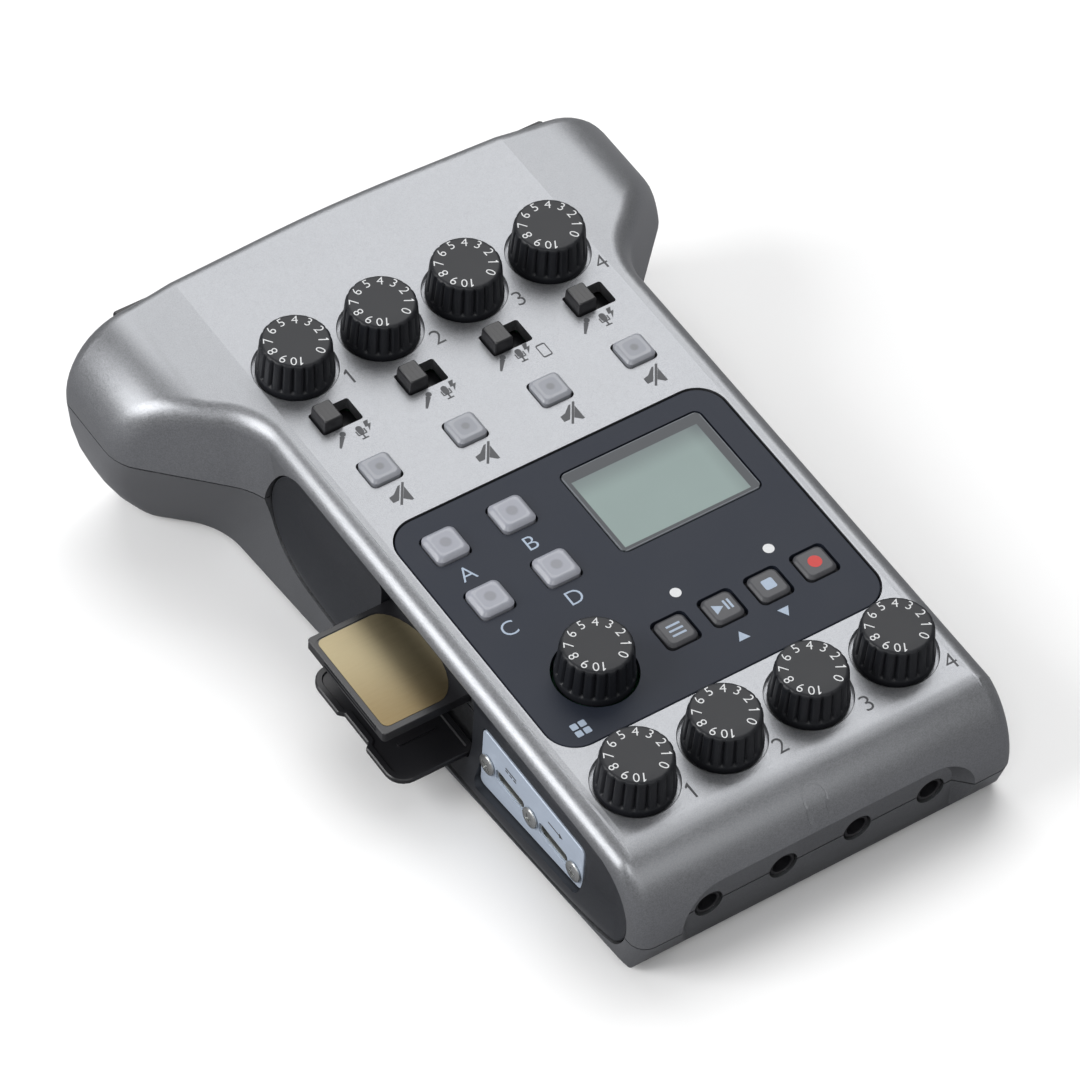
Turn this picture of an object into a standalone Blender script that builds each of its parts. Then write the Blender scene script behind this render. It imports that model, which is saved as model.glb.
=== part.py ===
"""Podcast recorder: four microphone inputs behind, a sloped control panel, four headphone outputs in front.

Two frames carry the pieces. The base frame is level with the desk, with its origin on the desk under
the middle of the recorder. The panel frame lies in the control panel, which rises towards the rear: x runs
along a row of knobs, y towards the rear, z out of the panel, and its origin is midway between
the input knobs 2 and 3. Lengths are in metres.
"""

import math

import bmesh
import bpy
from mathutils import Matrix, Vector

# Clearances
SEAT_GAP = 0.0003
RUNNING_GAP = 0.0003
OVERRUN = 0.004

# Housing
PANEL_TILT = math.radians(7)
BODY_HALF_WIDTH = 0.0378
HEAD_HALF_WIDTH = 0.0565
REAR_REACH = 0.0306
REAR_SIDE_SETBACK = 0.0014
REAR_BULGE_INSET = 0.0125
REAR_BULGE_HALF_WIDTH = HEAD_HALF_WIDTH - REAR_BULGE_INSET
NECK_OFFSET = 0.0433
NECK_SPREAD = 0.0047
NECK_LOWER_DRAW = 0.018
NECK_RADIUS = 0.014
EAR_ROLL_WIDTH = 0.0142
EAR_FLANK_WIDTH = 0.0088
EAR_CREASE = HEAD_HALF_WIDTH - EAR_ROLL_WIDTH - EAR_FLANK_WIDTH
EAR_DROP = 0.0012
UNDERCUT_RADIUS = 0.040
UNDERCUT_ANGLE = math.radians(48)
PARTING_DEPTH = 0.0155
NOSE_START = 0.1126
NOSE_LENGTH = 0.012
FRONT_HEIGHT = 0.0232
FRONT_SETBACK = 0.0023
LOWEST_DEPTH = PARTING_DEPTH + UNDERCUT_RADIUS * math.sin(UNDERCUT_ANGLE)
EDGE_RADIUS = 0.0032
LOWER_CHAMFER = (0.0009, 0.0013)
LOWER_CHAMFER_END = 0.008
WALL = 0.0026
BASE_WALL = 0.002
SIDE_WALL = 0.0068
INNER_HALF_WIDTH = BODY_HALF_WIDTH - SIDE_WALL
SEAM = 0.0003

# Headphone scoop and sockets
SCOOP_SIDE_MARGIN = 0.0113
SCOOP_HALF_WIDTH = BODY_HALF_WIDTH - SCOOP_SIDE_MARGIN
SCOOP_TOP_DEPTH = 0.0096
SCOOP_INSET = 0.0028
SCOOP_CORNER = 0.0052
JACK_PITCH = 0.0148
JACK_HOLE_RADIUS = 0.00275
JACK_BORE_RADIUS = 0.0018
JACK_BORE_DEPTH = 0.011
JACK_BODY_WIDTH = 0.0084
JACK_BODY_HEIGHT = 0.0062
JACK_BODY_LENGTH = 0.0125
JACK_WALL = 0.0024

# Knobs
KNOB_PITCH = 0.0172
KNOB_COUNT = 4
KNOB_TOP_RADIUS = 0.0063
KNOB_BASE_RADIUS = 0.0069
KNOB_HEIGHT = 0.00705
KNOB_SKIRT_HEIGHT = 0.0011
KNOB_CROWN_HEIGHT = 0.0007
KNOB_FLUTES = 14
FLUTE_DEPTH = 0.00045
KNOB_WELL_RADIUS = 0.0075
KNOB_WELL_DEPTH = 0.001
SHAFT_RADIUS = 0.003
POT_SIZE = 0.0095
PHONES_ROW = 0.1041
SOUND_KNOB_PLACE = (-0.0187, -0.0817)

# Slide switches
SWITCH_ROW = 0.0129
SWITCH_SLOT = (0.008, 0.0053)
SWITCH_SLIDER = (0.0039, 0.0047)
SWITCH_SLIDER_HEIGHT = 0.0027
SWITCH_TAPER = 0.0005
SWITCH_PLATE_MARGIN = 0.0012
PLATE_THICKNESS = 0.0008

# Mute keys
MUTE_ROW = 0.0268
MUTE_WINDOW = 0.0064
MUTE_CORNER = 0.001
KEY_HEIGHT = 0.0011
KEY_BEVEL = 0.0004
KEY_TRAVEL = 0.0008
KEY_FLANGE = 0.0006
STEM_RADIUS = 0.0015

# Fascia with its keys and display
FASCIA_WIDTH = 0.0658
FASCIA_FRONT = 0.0939
FASCIA_REAR = 0.0387
FASCIA_CORNER = 0.0055
FASCIA_THICKNESS = 0.0015
FASCIA_SINK = 0.00015
FASCIA_LEDGE = 0.002
PAD_PLACE = (-0.0253, -0.0465)
PAD_SPACING = (0.0132, 0.0136)
PAD_WINDOW = 0.0071
PAD_CORNER = 0.0012
TRANSPORT_START = -0.0025
TRANSPORT_PITCH = 0.00934
TRANSPORT_ROW = 0.0815
TRANSPORT_WINDOW = 0.0069
TRANSPORT_KEY = 0.0059
TRANSPORT_KEY_HEIGHT = 0.0003
DISPLAY_PLACE = (0.01353, -0.05325)
DISPLAY_SIZE = (0.0283, 0.0197)
DISPLAY_CORNER = 0.0012
WINDOW_THICKNESS = 0.0006
WINDOW_LEDGE = 0.0016
LCD_MARGIN = 0.0003

# Side panels
LEAF_REAR_TIP = (-0.0105, -0.0150)
LEAF_REAR_TOP = (-0.0175, -0.0042)
LEAF_TOP_DEPTH = 0.0032
LEAF_TOP_REAR = 0.0245
LEAF_FRONT = 0.1208
LEAF_FRONT_RADIUS = 0.0100
LEAF_LOWER_FRONT = (-0.0985, -0.0250)
LEAF_LOWER_MIDDLE = (-0.0700, -0.0275)
LEAF_LOWER_REAR = (-0.0290, -0.0279)
LEAF_TIP_LOWER = (-0.0170, -0.0246)
LEAF_THICKNESS = 0.004
LEAF_RIM = BODY_HALF_WIDTH - SEAT_GAP
LEAF_BACK = LEAF_RIM - LEAF_THICKNESS
LEAF_DISH_DEPTH = 0.0021
LEAF_DISH_SHARES = ((0.06, 0.12), (0.28, 0.62), (0.6, 1.0))
LEAF_SPINE = ((-0.022, -0.0138), (-0.1095, -0.0138))

# Memory card and its door
CARD_WIDTH = 0.024
CARD_LENGTH = 0.032
CARD_THICKNESS = 0.0021
CARD_REAR = 0.0432
CARD_TOP_DEPTH = 0.012
CARD_PROUD = 0.0125
CARD_OUTER_END = BODY_HALF_WIDTH + CARD_PROUD
CARD_TRAVEL = 0.018
CARD_CORNER = 0.004
DOOR_REAR = 0.0432
DOOR_WIDTH = 0.028
DOOR_LENGTH = 0.0151
DOOR_THICKNESS = 0.0012
DOOR_AXIS_INSET = 0.0026
DOOR_AXIS = (LEAF_RIM - DOOR_AXIS_INSET, 0.0222)
DOOR_CORNER = 0.0035
DOOR_NOTCH_WIDTH = 0.009
DOOR_NOTCH_DEPTH = 0.0009
DOOR_PIN_RADIUS = 0.00045
DOOR_PIN_LENGTH = 0.0008

# Connector plate
PLATE_SINK = 0.0019
PLATE_FACE = LEAF_RIM - PLATE_SINK
PLATE_SHEET = 0.0008
PLATE_REAR = 0.0747
PLATE_LENGTH = 0.0302
PLATE_TOP_DEPTH = 0.0116
PLATE_LOW_DEPTH = 0.0257
PLATE_CORNER = 0.0012
PORT_ROW_DEPTH = 0.019
PORT_REAR = 0.0768
PORT_PITCH = 0.01295
PORT_SIZE = (0.0086, 0.0028)
PORT_SHELL = 0.0003
PORT_LENGTH = 0.007
SCREW_HEAD_RADIUS = 0.002
SCREW_HEAD_HEIGHT = 0.0005
SCREW_RADIUS = 0.0009

# Microphone sockets
SOCKET_SIDE_MARGIN = 0.016
SOCKET_PITCH = 2 * (HEAD_HALF_WIDTH - SOCKET_SIDE_MARGIN) / (KNOB_COUNT - 1)
SOCKET_RADIUS = 0.0115
SOCKET_HEIGHT = 0.0218
SOCKET_LENGTH = 0.0135
SOCKET_SINK = 0.0004
SOCKET_RING_OUTER = 0.0095
SOCKET_RING_INNER = 0.0076
SOCKET_RING_DEPTH = 0.0115
PIN_HOLE_RADIUS = 0.0014
PIN_CIRCLE_RADIUS = 0.0041
LATCH_WIDTH = 0.0075
LATCH_THICKNESS = 0.003
LATCH_RISE = 0.0156
LATCH_REACH = 0.0013
LATCH_LENGTH = 0.009
LATCH_TRAVEL = 0.0012

# Boards
BOARD_THICKNESS = 0.0016
CONTROL_BOARD_DEPTH = 0.008
CONTROL_BOARD_REAR = 0.0055
CONTROL_BOARD_FRONT = 0.1125
MAIN_BOARD_DEPTH = 0.0188
MAIN_BOARD_REAR = 0.038
MAIN_BOARD_FRONT = 0.116
POST_RADIUS = 0.0025
POST_INSET = 0.006

# Batteries and cover
CELL_RADIUS = 0.00725
CELL_LENGTH = 0.0495
CELL_NUB_RADIUS = 0.00275
CELL_NUB_LENGTH = 0.001
CELL_PITCH = 0.0155
CELL_ROW_MIDDLE = 0.020
COVER_MARGIN = 0.0015
COVER_THICKNESS = 0.0016

# Feet
FOOT_HEIGHT = 0.001
FOOT_RADIUS = 0.0045
FOOT_RECESS = 0.0006
FOOT_PLACES = ((0.0275, -0.1), (0.034, 0.013))

# Power switch
POWER_PLACE = (-0.058, -0.0145)
POWER_SLOT = (0.0092, 0.0036)
POWER_SLIDER_LENGTH = 0.0045
POWER_PROUD = 0.0009


def top_of_base():
    """Height of the panel frame's origin above the desk."""
    front = -(NOSE_START + NOSE_LENGTH - FRONT_SETBACK)
    lowest = front * math.sin(PANEL_TILT) - FRONT_HEIGHT * math.cos(PANEL_TILT)
    return FOOT_HEIGHT - lowest


def middle_of_base():
    """Distance of the panel frame's origin behind the middle of the recorder, tabs included."""
    level, rise = math.cos(PANEL_TILT), math.sin(PANEL_TILT)
    rear = rear_edge(SOCKET_PITCH / 2) * level + LATCH_REACH
    nose = -NOSE_START * level + PARTING_DEPTH * rise - math.hypot(NOSE_LENGTH * level, PARTING_DEPTH * rise)
    return -(rear + nose) / 2


def on_base(y, z):
    """A point of the panel frame's plane x = 0, as height and distance in the base frame."""
    level = y * math.cos(PANEL_TILT) - z * math.sin(PANEL_TILT) + middle_of_base()
    height = y * math.sin(PANEL_TILT) + z * math.cos(PANEL_TILT) + top_of_base()
    return level, height


def underside(y):
    """z of the housing's flat underside, in the panel frame."""
    front = -(NOSE_START + NOSE_LENGTH - FRONT_SETBACK)
    return -FRONT_HEIGHT - (y - front) * math.tan(PANEL_TILT)


def rear_edge(x):
    """y of the rear edge of the panel at x: a shallow wave, highest in the middle."""
    share = min(abs(x) / REAR_BULGE_HALF_WIDTH, 1)
    return REAR_REACH - REAR_SIDE_SETBACK * (1 - math.cos(math.pi * share)) / 2


def arc(centre, radii, start, end, steps):
    """Points of an elliptic arc, with angles in degrees."""
    angles = [math.radians(start + (end - start) * k / steps) for k in range(steps + 1)]
    return [(centre[0] + radii[0] * math.cos(a), centre[1] + radii[1] * math.sin(a)) for a in angles]


def circle(radius, count, centre=(0, 0)):
    return arc(centre, (radius, radius), 0, 360, count)[:-1]


def rounded_rectangle(width, depth, radius, centre=(0, 0), steps=3):
    """Outline with round corners."""
    across = width / 2 - radius
    along = depth / 2 - radius
    outline = []
    for turn, (side, end) in enumerate(((1, 1), (-1, 1), (-1, -1), (1, -1))):
        corner = (centre[0] + side * across, centre[1] + end * along)
        outline += arc(corner, (radius, radius), 90 * turn, 90 * turn + 90, steps)
    return outline


def filleted(corners, steps=4):
    """Closed outline from (u, v, radius) corners."""
    outline = []
    count = len(corners)
    for index, (u, v, radius) in enumerate(corners):
        corner = Vector((u, v))
        if radius == 0:
            outline.append((u, v))
            continue
        back = (Vector(corners[index - 1][:2]) - corner).normalized()
        ahead = (Vector(corners[(index + 1) % count][:2]) - corner).normalized()
        half = back.angle(ahead) / 2
        centre = corner + (back + ahead).normalized() * (radius / math.sin(half))
        first = corner + back * (radius / math.tan(half)) - centre
        turn = math.pi - 2 * half
        if back.cross(ahead) > 0:
            turn = -turn
        for k in range(steps + 1):
            spoke = Matrix.Rotation(turn * k / steps, 2) @ first
            outline.append(tuple(centre + spoke))
    return outline


def placed(u, v, w, axis):
    """A point from outline coordinates u, v and the distance w along the axis."""
    return {"X": (w, u, v), "Y": (u, w, v), "Z": (u, v, w)}[axis]


def add_prism(shape, outline, low, high, axis="Z"):
    """Extrudes an outline from low to high along an axis."""
    corners = [shape.verts.new(placed(u, v, low, axis)) for u, v in outline]
    face = shape.faces.new(corners)
    grown = bmesh.ops.extrude_face_region(shape, geom=[face])["geom"]
    moved = [item for item in grown if isinstance(item, bmesh.types.BMVert)]
    bmesh.ops.translate(shape, verts=moved, vec=placed(0, 0, high - low, axis))
    return shape


def add_loft(shape, rings):
    """Skins rings of equally many points, and caps both ends."""
    loops = [[shape.verts.new(point) for point in ring] for ring in rings]
    shape.faces.new(loops[0])
    shape.faces.new(loops[-1])
    for lower, upper in zip(loops, loops[1:]):
        count = len(lower)
        for k in range(count):
            n = (k + 1) % count
            shape.faces.new((lower[k], lower[n], upper[n], upper[k]))
    return shape


def add_tower(shape, sections, axis="Z", centre=(0, 0)):
    """Skins flat sections, each an (outline, distance along the axis) pair."""
    rings = []
    for outline, w in sections:
        rings.append([placed(centre[0] + u, centre[1] + v, w, axis) for u, v in outline])
    return add_loft(shape, rings)


def finished(shape):
    bmesh.ops.recalc_face_normals(shape, faces=shape.faces[:])
    return shape


def prism(outline, low, high, axis="Z"):
    return add_prism(bmesh.new(), outline, low, high, axis)


def material(name, color, roughness, metallic=0.0):
    """Principled material in linear colour."""
    made = bpy.data.materials.new(name)
    made.use_nodes = True
    shader = made.node_tree.nodes["Principled BSDF"]
    shader.inputs["Base Color"].default_value = (*color, 1)
    shader.inputs["Roughness"].default_value = roughness
    shader.inputs["Metallic"].default_value = metallic
    return made


def add_object(name, shape, frame, location=(0, 0, 0)):
    """Object from a shape, carried by a frame."""
    finished(shape)
    mesh = bpy.data.meshes.new(name)
    shape.to_mesh(mesh)
    shape.free()
    item = bpy.data.objects.new(name, mesh)
    bpy.context.collection.objects.link(item)
    item.parent = frame
    item.location = location
    return item


def add_piece(name, shape, frame, finish, location=(0, 0, 0), smooth=math.radians(35)):
    """A named piece of the recorder."""
    item = add_object(name, shape, frame, location)
    item.data.materials.append(finish)
    item.data.shade_smooth()
    item.data.set_sharp_from_angle(angle=smooth)
    return item


def add_copy(name, original, frame, location):
    """Another piece with the same mesh."""
    item = bpy.data.objects.new(name, original.data)
    bpy.context.collection.objects.link(item)
    item.parent = frame
    item.location = location
    return item


def combine(item, operation, shape, frame):
    """Adds one Boolean step with a hidden tool made of a shape."""
    tool = add_object(f"{item.name}_tool", shape, frame)
    tool.hide_render = True
    tool.display_type = "WIRE"
    step = item.modifiers.new(operation.lower(), "BOOLEAN")
    step.operation = operation
    step.solver = "EXACT"
    step.object = tool
    return tool


def settle(item):
    """Applies an object's modifiers and removes their tools."""
    bpy.context.view_layer.update()
    graph = bpy.context.evaluated_depsgraph_get()
    mesh = bpy.data.meshes.new_from_object(item.evaluated_get(graph))
    tools = [step.object for step in item.modifiers]
    item.modifiers.clear()
    item.data = mesh
    for tool in tools:
        bpy.data.objects.remove(tool, do_unlink=True)


def knob_places():
    """Places of the knobs in a row, from left to right."""
    return [(k - (KNOB_COUNT - 1) / 2) * KNOB_PITCH for k in range(KNOB_COUNT)]


def all_knobs():
    """Places of all nine knobs."""
    places = [(x, 0) for x in knob_places()]
    places += [(x, -PHONES_ROW) for x in knob_places()]
    return places + [SOUND_KNOB_PLACE]


def pad_places():
    """Places of the sound pad keys A, B, C and D."""
    x, y = PAD_PLACE
    across, down = PAD_SPACING
    return [(x, y), (x + across, y), (x, y - down), (x + across, y - down)]


def transport_places():
    return [(TRANSPORT_START + k * TRANSPORT_PITCH, -TRANSPORT_ROW) for k in range(4)]


def jack_places():
    return [(k - (KNOB_COUNT - 1) / 2) * JACK_PITCH for k in range(KNOB_COUNT)]


def socket_places():
    return [(k - (KNOB_COUNT - 1) / 2) * SOCKET_PITCH for k in range(KNOB_COUNT)]


def port_places():
    """y of the two data sockets, between the three screws of the plate."""
    return [-(PORT_REAR + (k + 0.5) * PORT_PITCH) for k in range(2)]


def screw_places():
    return [-(PORT_REAR + k * PORT_PITCH) for k in range(3)]


def plan_outline(z, side, wall, steps):
    """T-shaped plan at height z, with its side walls at a half width and the rest set in by a wall."""
    lean = z * math.tan(PANEL_TILT)
    spread = NECK_SPREAD if z > -PARTING_DEPTH else -NECK_LOWER_DRAW
    span = PARTING_DEPTH if z > -PARTING_DEPTH else LOWEST_DEPTH - PARTING_DEPTH
    start = NECK_OFFSET if z > -PARTING_DEPTH else NECK_OFFSET + NECK_SPREAD
    depth = -z if z > -PARTING_DEPTH else -z - PARTING_DEPTH
    neck = start + spread * depth / span - wall * math.sqrt(2)
    wide = HEAD_HALF_WIDTH + OVERRUN
    rear = []
    for k in range(steps + 1):
        x = REAR_BULGE_HALF_WIDTH * k / steps
        rear.append((x, rear_edge(x) + lean - wall))
    rear.append((wide, rear_edge(wide) + lean - wall))
    front = -(NOSE_START + NOSE_LENGTH + OVERRUN)
    corners = [(side, front, 0), (wide, wide - neck, 0), (side, side - neck, NECK_RADIUS), (side, front, 0)]
    outline = rear + filleted(corners)[1:]
    mirrored = [(-x, y) for x, y in reversed(outline) if x > 0]
    return [(x, y, z) for x, y in outline + mirrored]


def cross_outline(wall, steps):
    """Section across the head: flat in the middle, rolled round the ears and drawn in below."""
    roll = HEAD_HALF_WIDTH - EAR_ROLL_WIDTH
    radii = (EAR_ROLL_WIDTH - wall, PARTING_DEPTH - EAR_DROP - wall)
    right = [(EAR_CREASE, -wall)] + list(reversed(arc((roll, -PARTING_DEPTH), radii, 0, 90, steps)))
    below = HEAD_HALF_WIDTH - UNDERCUT_RADIUS
    bend = UNDERCUT_RADIUS - wall
    angle = -math.degrees(UNDERCUT_ANGLE)
    right += arc((below, -PARTING_DEPTH), (bend, UNDERCUT_RADIUS), 0, angle, steps // 2)[1:]
    return right + [(-x, z) for x, z in reversed(right)]


def side_outline(wall, nose_length, front_setback, steps):
    """Section along the recorder: flat panel, round nose, and a front that leans back lower down."""
    rear = REAR_REACH + OVERRUN
    radii = (nose_length, PARTING_DEPTH - wall)
    nose = arc((-NOSE_START, -PARTING_DEPTH), radii, 90, 180, steps)
    share = (LOWEST_DEPTH + OVERRUN - PARTING_DEPTH) / (FRONT_HEIGHT - PARTING_DEPTH)
    foot = -(NOSE_START + nose_length - front_setback * share)
    low = -LOWEST_DEPTH - OVERRUN
    return [(rear, -wall)] + nose + [(foot, low), (rear, low)]


def housing_form(name, side, wall, nose_length, front_setback, steps, frame):
    """The plan, cross and side outlines extruded and intersected, with arcs of so many steps."""
    levels = (OVERRUN, -PARTING_DEPTH, -LOWEST_DEPTH - OVERRUN)
    rings = [plan_outline(z, side, wall, steps) for z in levels]
    form = add_object(name, add_loft(bmesh.new(), rings), frame)
    reach = NOSE_START + NOSE_LENGTH + REAR_REACH
    combine(form, "INTERSECT", prism(cross_outline(wall, steps), -reach, reach, "Y"), frame)
    outline = side_outline(wall, nose_length, front_setback, steps)
    combine(form, "INTERSECT", prism(outline, -reach, reach, "X"), frame)
    settle(form)
    return form


def round_edges(form):
    """Rounds the sharp edges of a form above its bottom."""
    shape = bmesh.new()
    shape.from_mesh(form.data)
    merge = SEAM / 10
    bmesh.ops.remove_doubles(shape, verts=shape.verts[:], dist=merge)
    smallest = math.radians(0.6)
    bmesh.ops.dissolve_limit(shape, angle_limit=smallest, verts=shape.verts[:], edges=shape.edges[:])
    edges = []
    for edge in shape.edges:
        sharp = len(edge.link_faces) == 2 and edge.calc_face_angle() > math.radians(33)
        if sharp and any(v.co.z > -LOWEST_DEPTH + SEAM for v in edge.verts):
            edges.append(edge)
    bmesh.ops.bevel(shape, geom=edges, offset=EDGE_RADIUS, offset_type="OFFSET", segments=2, profile=0.5,
                    affect="EDGES", clamp_overlap=False, miter_outer="ARC")
    bmesh.ops.remove_doubles(shape, verts=shape.verts[:], dist=merge)
    bmesh.ops.triangulate(shape, faces=shape.faces[:])
    shape.to_mesh(form.data)
    shape.free()


def above_desk(form, height, base):
    """Cuts a form off level with the desk, at a height over it."""
    reach = 2 * LOWEST_DEPTH
    combine(form, "INTERSECT", slab(height, height + reach), base)
    settle(form)


def chamfer_section(place, side, slope):
    """Triangle outside a lower edge at a place, as across and height. side is the way out of the housing."""
    inward, rise = LOWER_CHAMFER
    reach = OVERRUN
    return [
        (place - side * inward, FOOT_HEIGHT),
        (place - side * inward, FOOT_HEIGHT - reach),
        (place + side * reach, FOOT_HEIGHT - reach),
        (place + side * reach, FOOT_HEIGHT + slope * (inward + reach)),
    ]


def chamfer_lower_edges(form, base):
    """Breaks the lower edges along both sides and the front, running out towards the ears."""
    slope = LOWER_CHAMFER[1] / LOWER_CHAMFER[0]
    front, _ = on_base(-(NOSE_START + NOSE_LENGTH - FRONT_SETBACK), -FRONT_HEIGHT)
    for side in (-1, 1):
        full = chamfer_section(side * BODY_HALF_WIDTH, side, slope)
        faded = chamfer_section(side * (BODY_HALF_WIDTH + 2 * LOWER_CHAMFER[0]), side, slope)
        ends = [(full, front - OVERRUN), (full, LOWER_CHAMFER_END), (faded, LOWER_CHAMFER_END + REAR_REACH)]
        combine(form, "DIFFERENCE", add_tower(bmesh.new(), ends, "Y"), base)
    reach = BODY_HALF_WIDTH + OVERRUN
    combine(form, "DIFFERENCE", prism(chamfer_section(front, -1, slope), -reach, reach, "X"), base)
    settle(form)


def slab(low, high):
    """A block over the whole recorder, from low to high."""
    reach = NOSE_START + NOSE_LENGTH + REAR_REACH
    return prism([(-reach, -reach), (reach, -reach), (reach, reach), (-reach, reach)], low, high)


def leaf_outline(grow):
    """Outline of a side panel in y and z, grown by a clearance."""
    front = -LEAF_FRONT + LEAF_FRONT_RADIUS
    middle = (front, -LEAF_TOP_DEPTH - LEAF_FRONT_RADIUS)
    nose = arc(middle, (LEAF_FRONT_RADIUS, LEAF_FRONT_RADIUS), 90, 235, 6)
    points = [LEAF_REAR_TIP, LEAF_REAR_TOP, (-LEAF_TOP_REAR, -LEAF_TOP_DEPTH)] + nose
    points += [LEAF_LOWER_FRONT, LEAF_LOWER_MIDDLE, LEAF_LOWER_REAR, LEAF_TIP_LOWER]
    rounding = LEAF_FRONT_RADIUS / 4
    corners = []
    for index, (y, z) in enumerate(points):
        round_here = index in (0, 1, len(points) - 1)
        corners.append((y, z, rounding if round_here else 0))
    outline = filleted(corners, 3)
    count = len(outline)
    grown = []
    for k in range(count):
        back = Vector(outline[k]) - Vector(outline[k - 1])
        ahead = Vector(outline[(k + 1) % count]) - Vector(outline[k])
        along = (back.normalized() + ahead.normalized()).normalized()
        grown.append((outline[k][0] + along.y * grow, outline[k][1] - along.x * grow))
    return grown


def toward_spine(point, share):
    """A point drawn a share of the way to the nearest point of the leaf's spine."""
    rear, front = (Vector(end) for end in LEAF_SPINE)
    run = front - rear
    along = min(max((Vector(point) - rear).dot(run) / run.length_squared, 0), 1)
    nearest = rear + run * along
    return tuple(Vector(point).lerp(nearest, share))


def leaf_panel(side):
    """Leaf-shaped panel, dished towards its spine. side is -1 for the left and 1 for the right."""
    outline = leaf_outline(-SEAT_GAP)
    sections = [(outline, side * LEAF_BACK), (outline, side * LEAF_RIM)]
    for share, depth in LEAF_DISH_SHARES:
        ring = [toward_spine(point, share) for point in outline]
        sections.append((ring, side * (LEAF_RIM - LEAF_DISH_DEPTH * depth)))
    return add_tower(bmesh.new(), sections, "X")


def leaf_pockets():
    """Pockets for both side panels."""
    shape = bmesh.new()
    outline = leaf_outline(0)
    floor = LEAF_BACK - SEAT_GAP
    for side in (-1, 1):
        add_prism(shape, outline, side * floor, side * (BODY_HALF_WIDTH + OVERRUN), "X")
    return shape


def scoop_outline(grow):
    """Outline of the headphone scoop in x and z."""
    half = SCOOP_HALF_WIDTH + grow
    top = -SCOOP_TOP_DEPTH + grow
    low = -LOWEST_DEPTH
    corner = SCOOP_CORNER + grow
    return filleted([(half, low, 0), (half, top, corner), (-half, top, corner), (-half, low, 0)])


def scoop():
    """Cutter for the scoop, its walls at 45 degrees to the front."""
    plane = -(NOSE_START + NOSE_LENGTH - SCOOP_INSET)
    flare = SCOOP_INSET + OVERRUN / 2
    return add_tower(bmesh.new(), [(scoop_outline(0), plane), (scoop_outline(flare), plane - flare)], "Y")


def jack_holes():
    shape = bmesh.new()
    plane = -(NOSE_START + NOSE_LENGTH - SCOOP_INSET)
    for x in jack_places():
        add_prism(shape, circle(JACK_HOLE_RADIUS, 12, (x, -PARTING_DEPTH)), plane - OVERRUN / 4,
                  plane + JACK_WALL + OVERRUN / 4, "Y")
    return shape


def panel_wells():
    """Shallow wells under the knobs."""
    shape = bmesh.new()
    for x, y in all_knobs()[:-1]:
        add_prism(shape, circle(KNOB_WELL_RADIUS, 20, (x, y)), -KNOB_WELL_DEPTH, OVERRUN)
    return shape


def panel_holes():
    """Holes through the panel: shafts, switch slots, mute windows and the fascia's window."""
    shape = bmesh.new()
    low = -WALL - OVERRUN / 4
    high = OVERRUN / 2
    for x, y in all_knobs()[:-1]:
        add_prism(shape, circle(SHAFT_RADIUS + RUNNING_GAP, 12, (x, y)), low, high)
    for x in knob_places():
        slot = rounded_rectangle(*SWITCH_SLOT, MUTE_CORNER / 2, (x, -SWITCH_ROW), 2)
        window = rounded_rectangle(MUTE_WINDOW, MUTE_WINDOW, MUTE_CORNER, (x, -MUTE_ROW), 2)
        add_prism(shape, slot, low, high)
        add_prism(shape, window, low, high)
    width = FASCIA_WIDTH - 2 * FASCIA_LEDGE
    depth = FASCIA_FRONT - FASCIA_REAR - 2 * FASCIA_LEDGE
    corner = FASCIA_CORNER - FASCIA_LEDGE
    add_prism(shape, rounded_rectangle(width, depth, corner, fascia_place()), low, high)
    return shape


def fascia_place():
    return (0, -(FASCIA_FRONT + FASCIA_REAR) / 2)


def fascia_pocket():
    width = FASCIA_WIDTH + 2 * SEAT_GAP
    depth = FASCIA_FRONT - FASCIA_REAR + 2 * SEAT_GAP
    outline = rounded_rectangle(width, depth, FASCIA_CORNER + SEAT_GAP, fascia_place(), 4)
    return prism(outline, -(FASCIA_SINK + FASCIA_THICKNESS + SEAT_GAP), OVERRUN)


def card_slot(grow):
    """Space of the card through the left wall."""
    middle = -CARD_REAR - CARD_WIDTH / 2
    level = -CARD_TOP_DEPTH - CARD_THICKNESS / 2
    width = CARD_WIDTH + 2 * grow
    height = CARD_THICKNESS + 2 * grow
    outline = rounded_rectangle(width, height, grow, (middle, level), 1)
    return prism(outline, -(BODY_HALF_WIDTH + OVERRUN), -(INNER_HALF_WIDTH - OVERRUN / 4), "X")


def port_holes(outer, inner):
    """Tunnels for the two data sockets, from one half width to another."""
    shape = bmesh.new()
    width, height = (size + 2 * SEAT_GAP for size in PORT_SIZE)
    for y in port_places():
        outline = rounded_rectangle(width, height, height / 3, (y, -PORT_ROW_DEPTH), 2)
        add_prism(shape, outline, -outer, -inner, "X")
    return shape


def socket_face(x):
    """y of a microphone socket's face, in the base frame."""
    outer = abs(x) + SOCKET_RADIUS
    return rear_edge(outer) * math.cos(PANEL_TILT) + middle_of_base() - SOCKET_SINK


def socket_holes():
    shape = bmesh.new()
    for x in socket_places():
        outline = circle(SOCKET_RADIUS + SEAT_GAP, 20, (x, SOCKET_HEIGHT))
        face = socket_face(x)
        add_prism(shape, outline, face - 2 * WALL - OVERRUN, face + 2 * OVERRUN, "Y")
    return shape


def latch_slots():
    shape = bmesh.new()
    for x in socket_places():
        width = LATCH_WIDTH + 2 * RUNNING_GAP
        height = LATCH_THICKNESS + 2 * RUNNING_GAP
        outline = rounded_rectangle(width, height, MUTE_CORNER / 2, (x, SOCKET_HEIGHT + LATCH_RISE), 1)
        face = socket_face(x)
        add_prism(shape, outline, face - 2 * WALL - OVERRUN, face + 2 * OVERRUN, "Y")
    return shape


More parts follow.
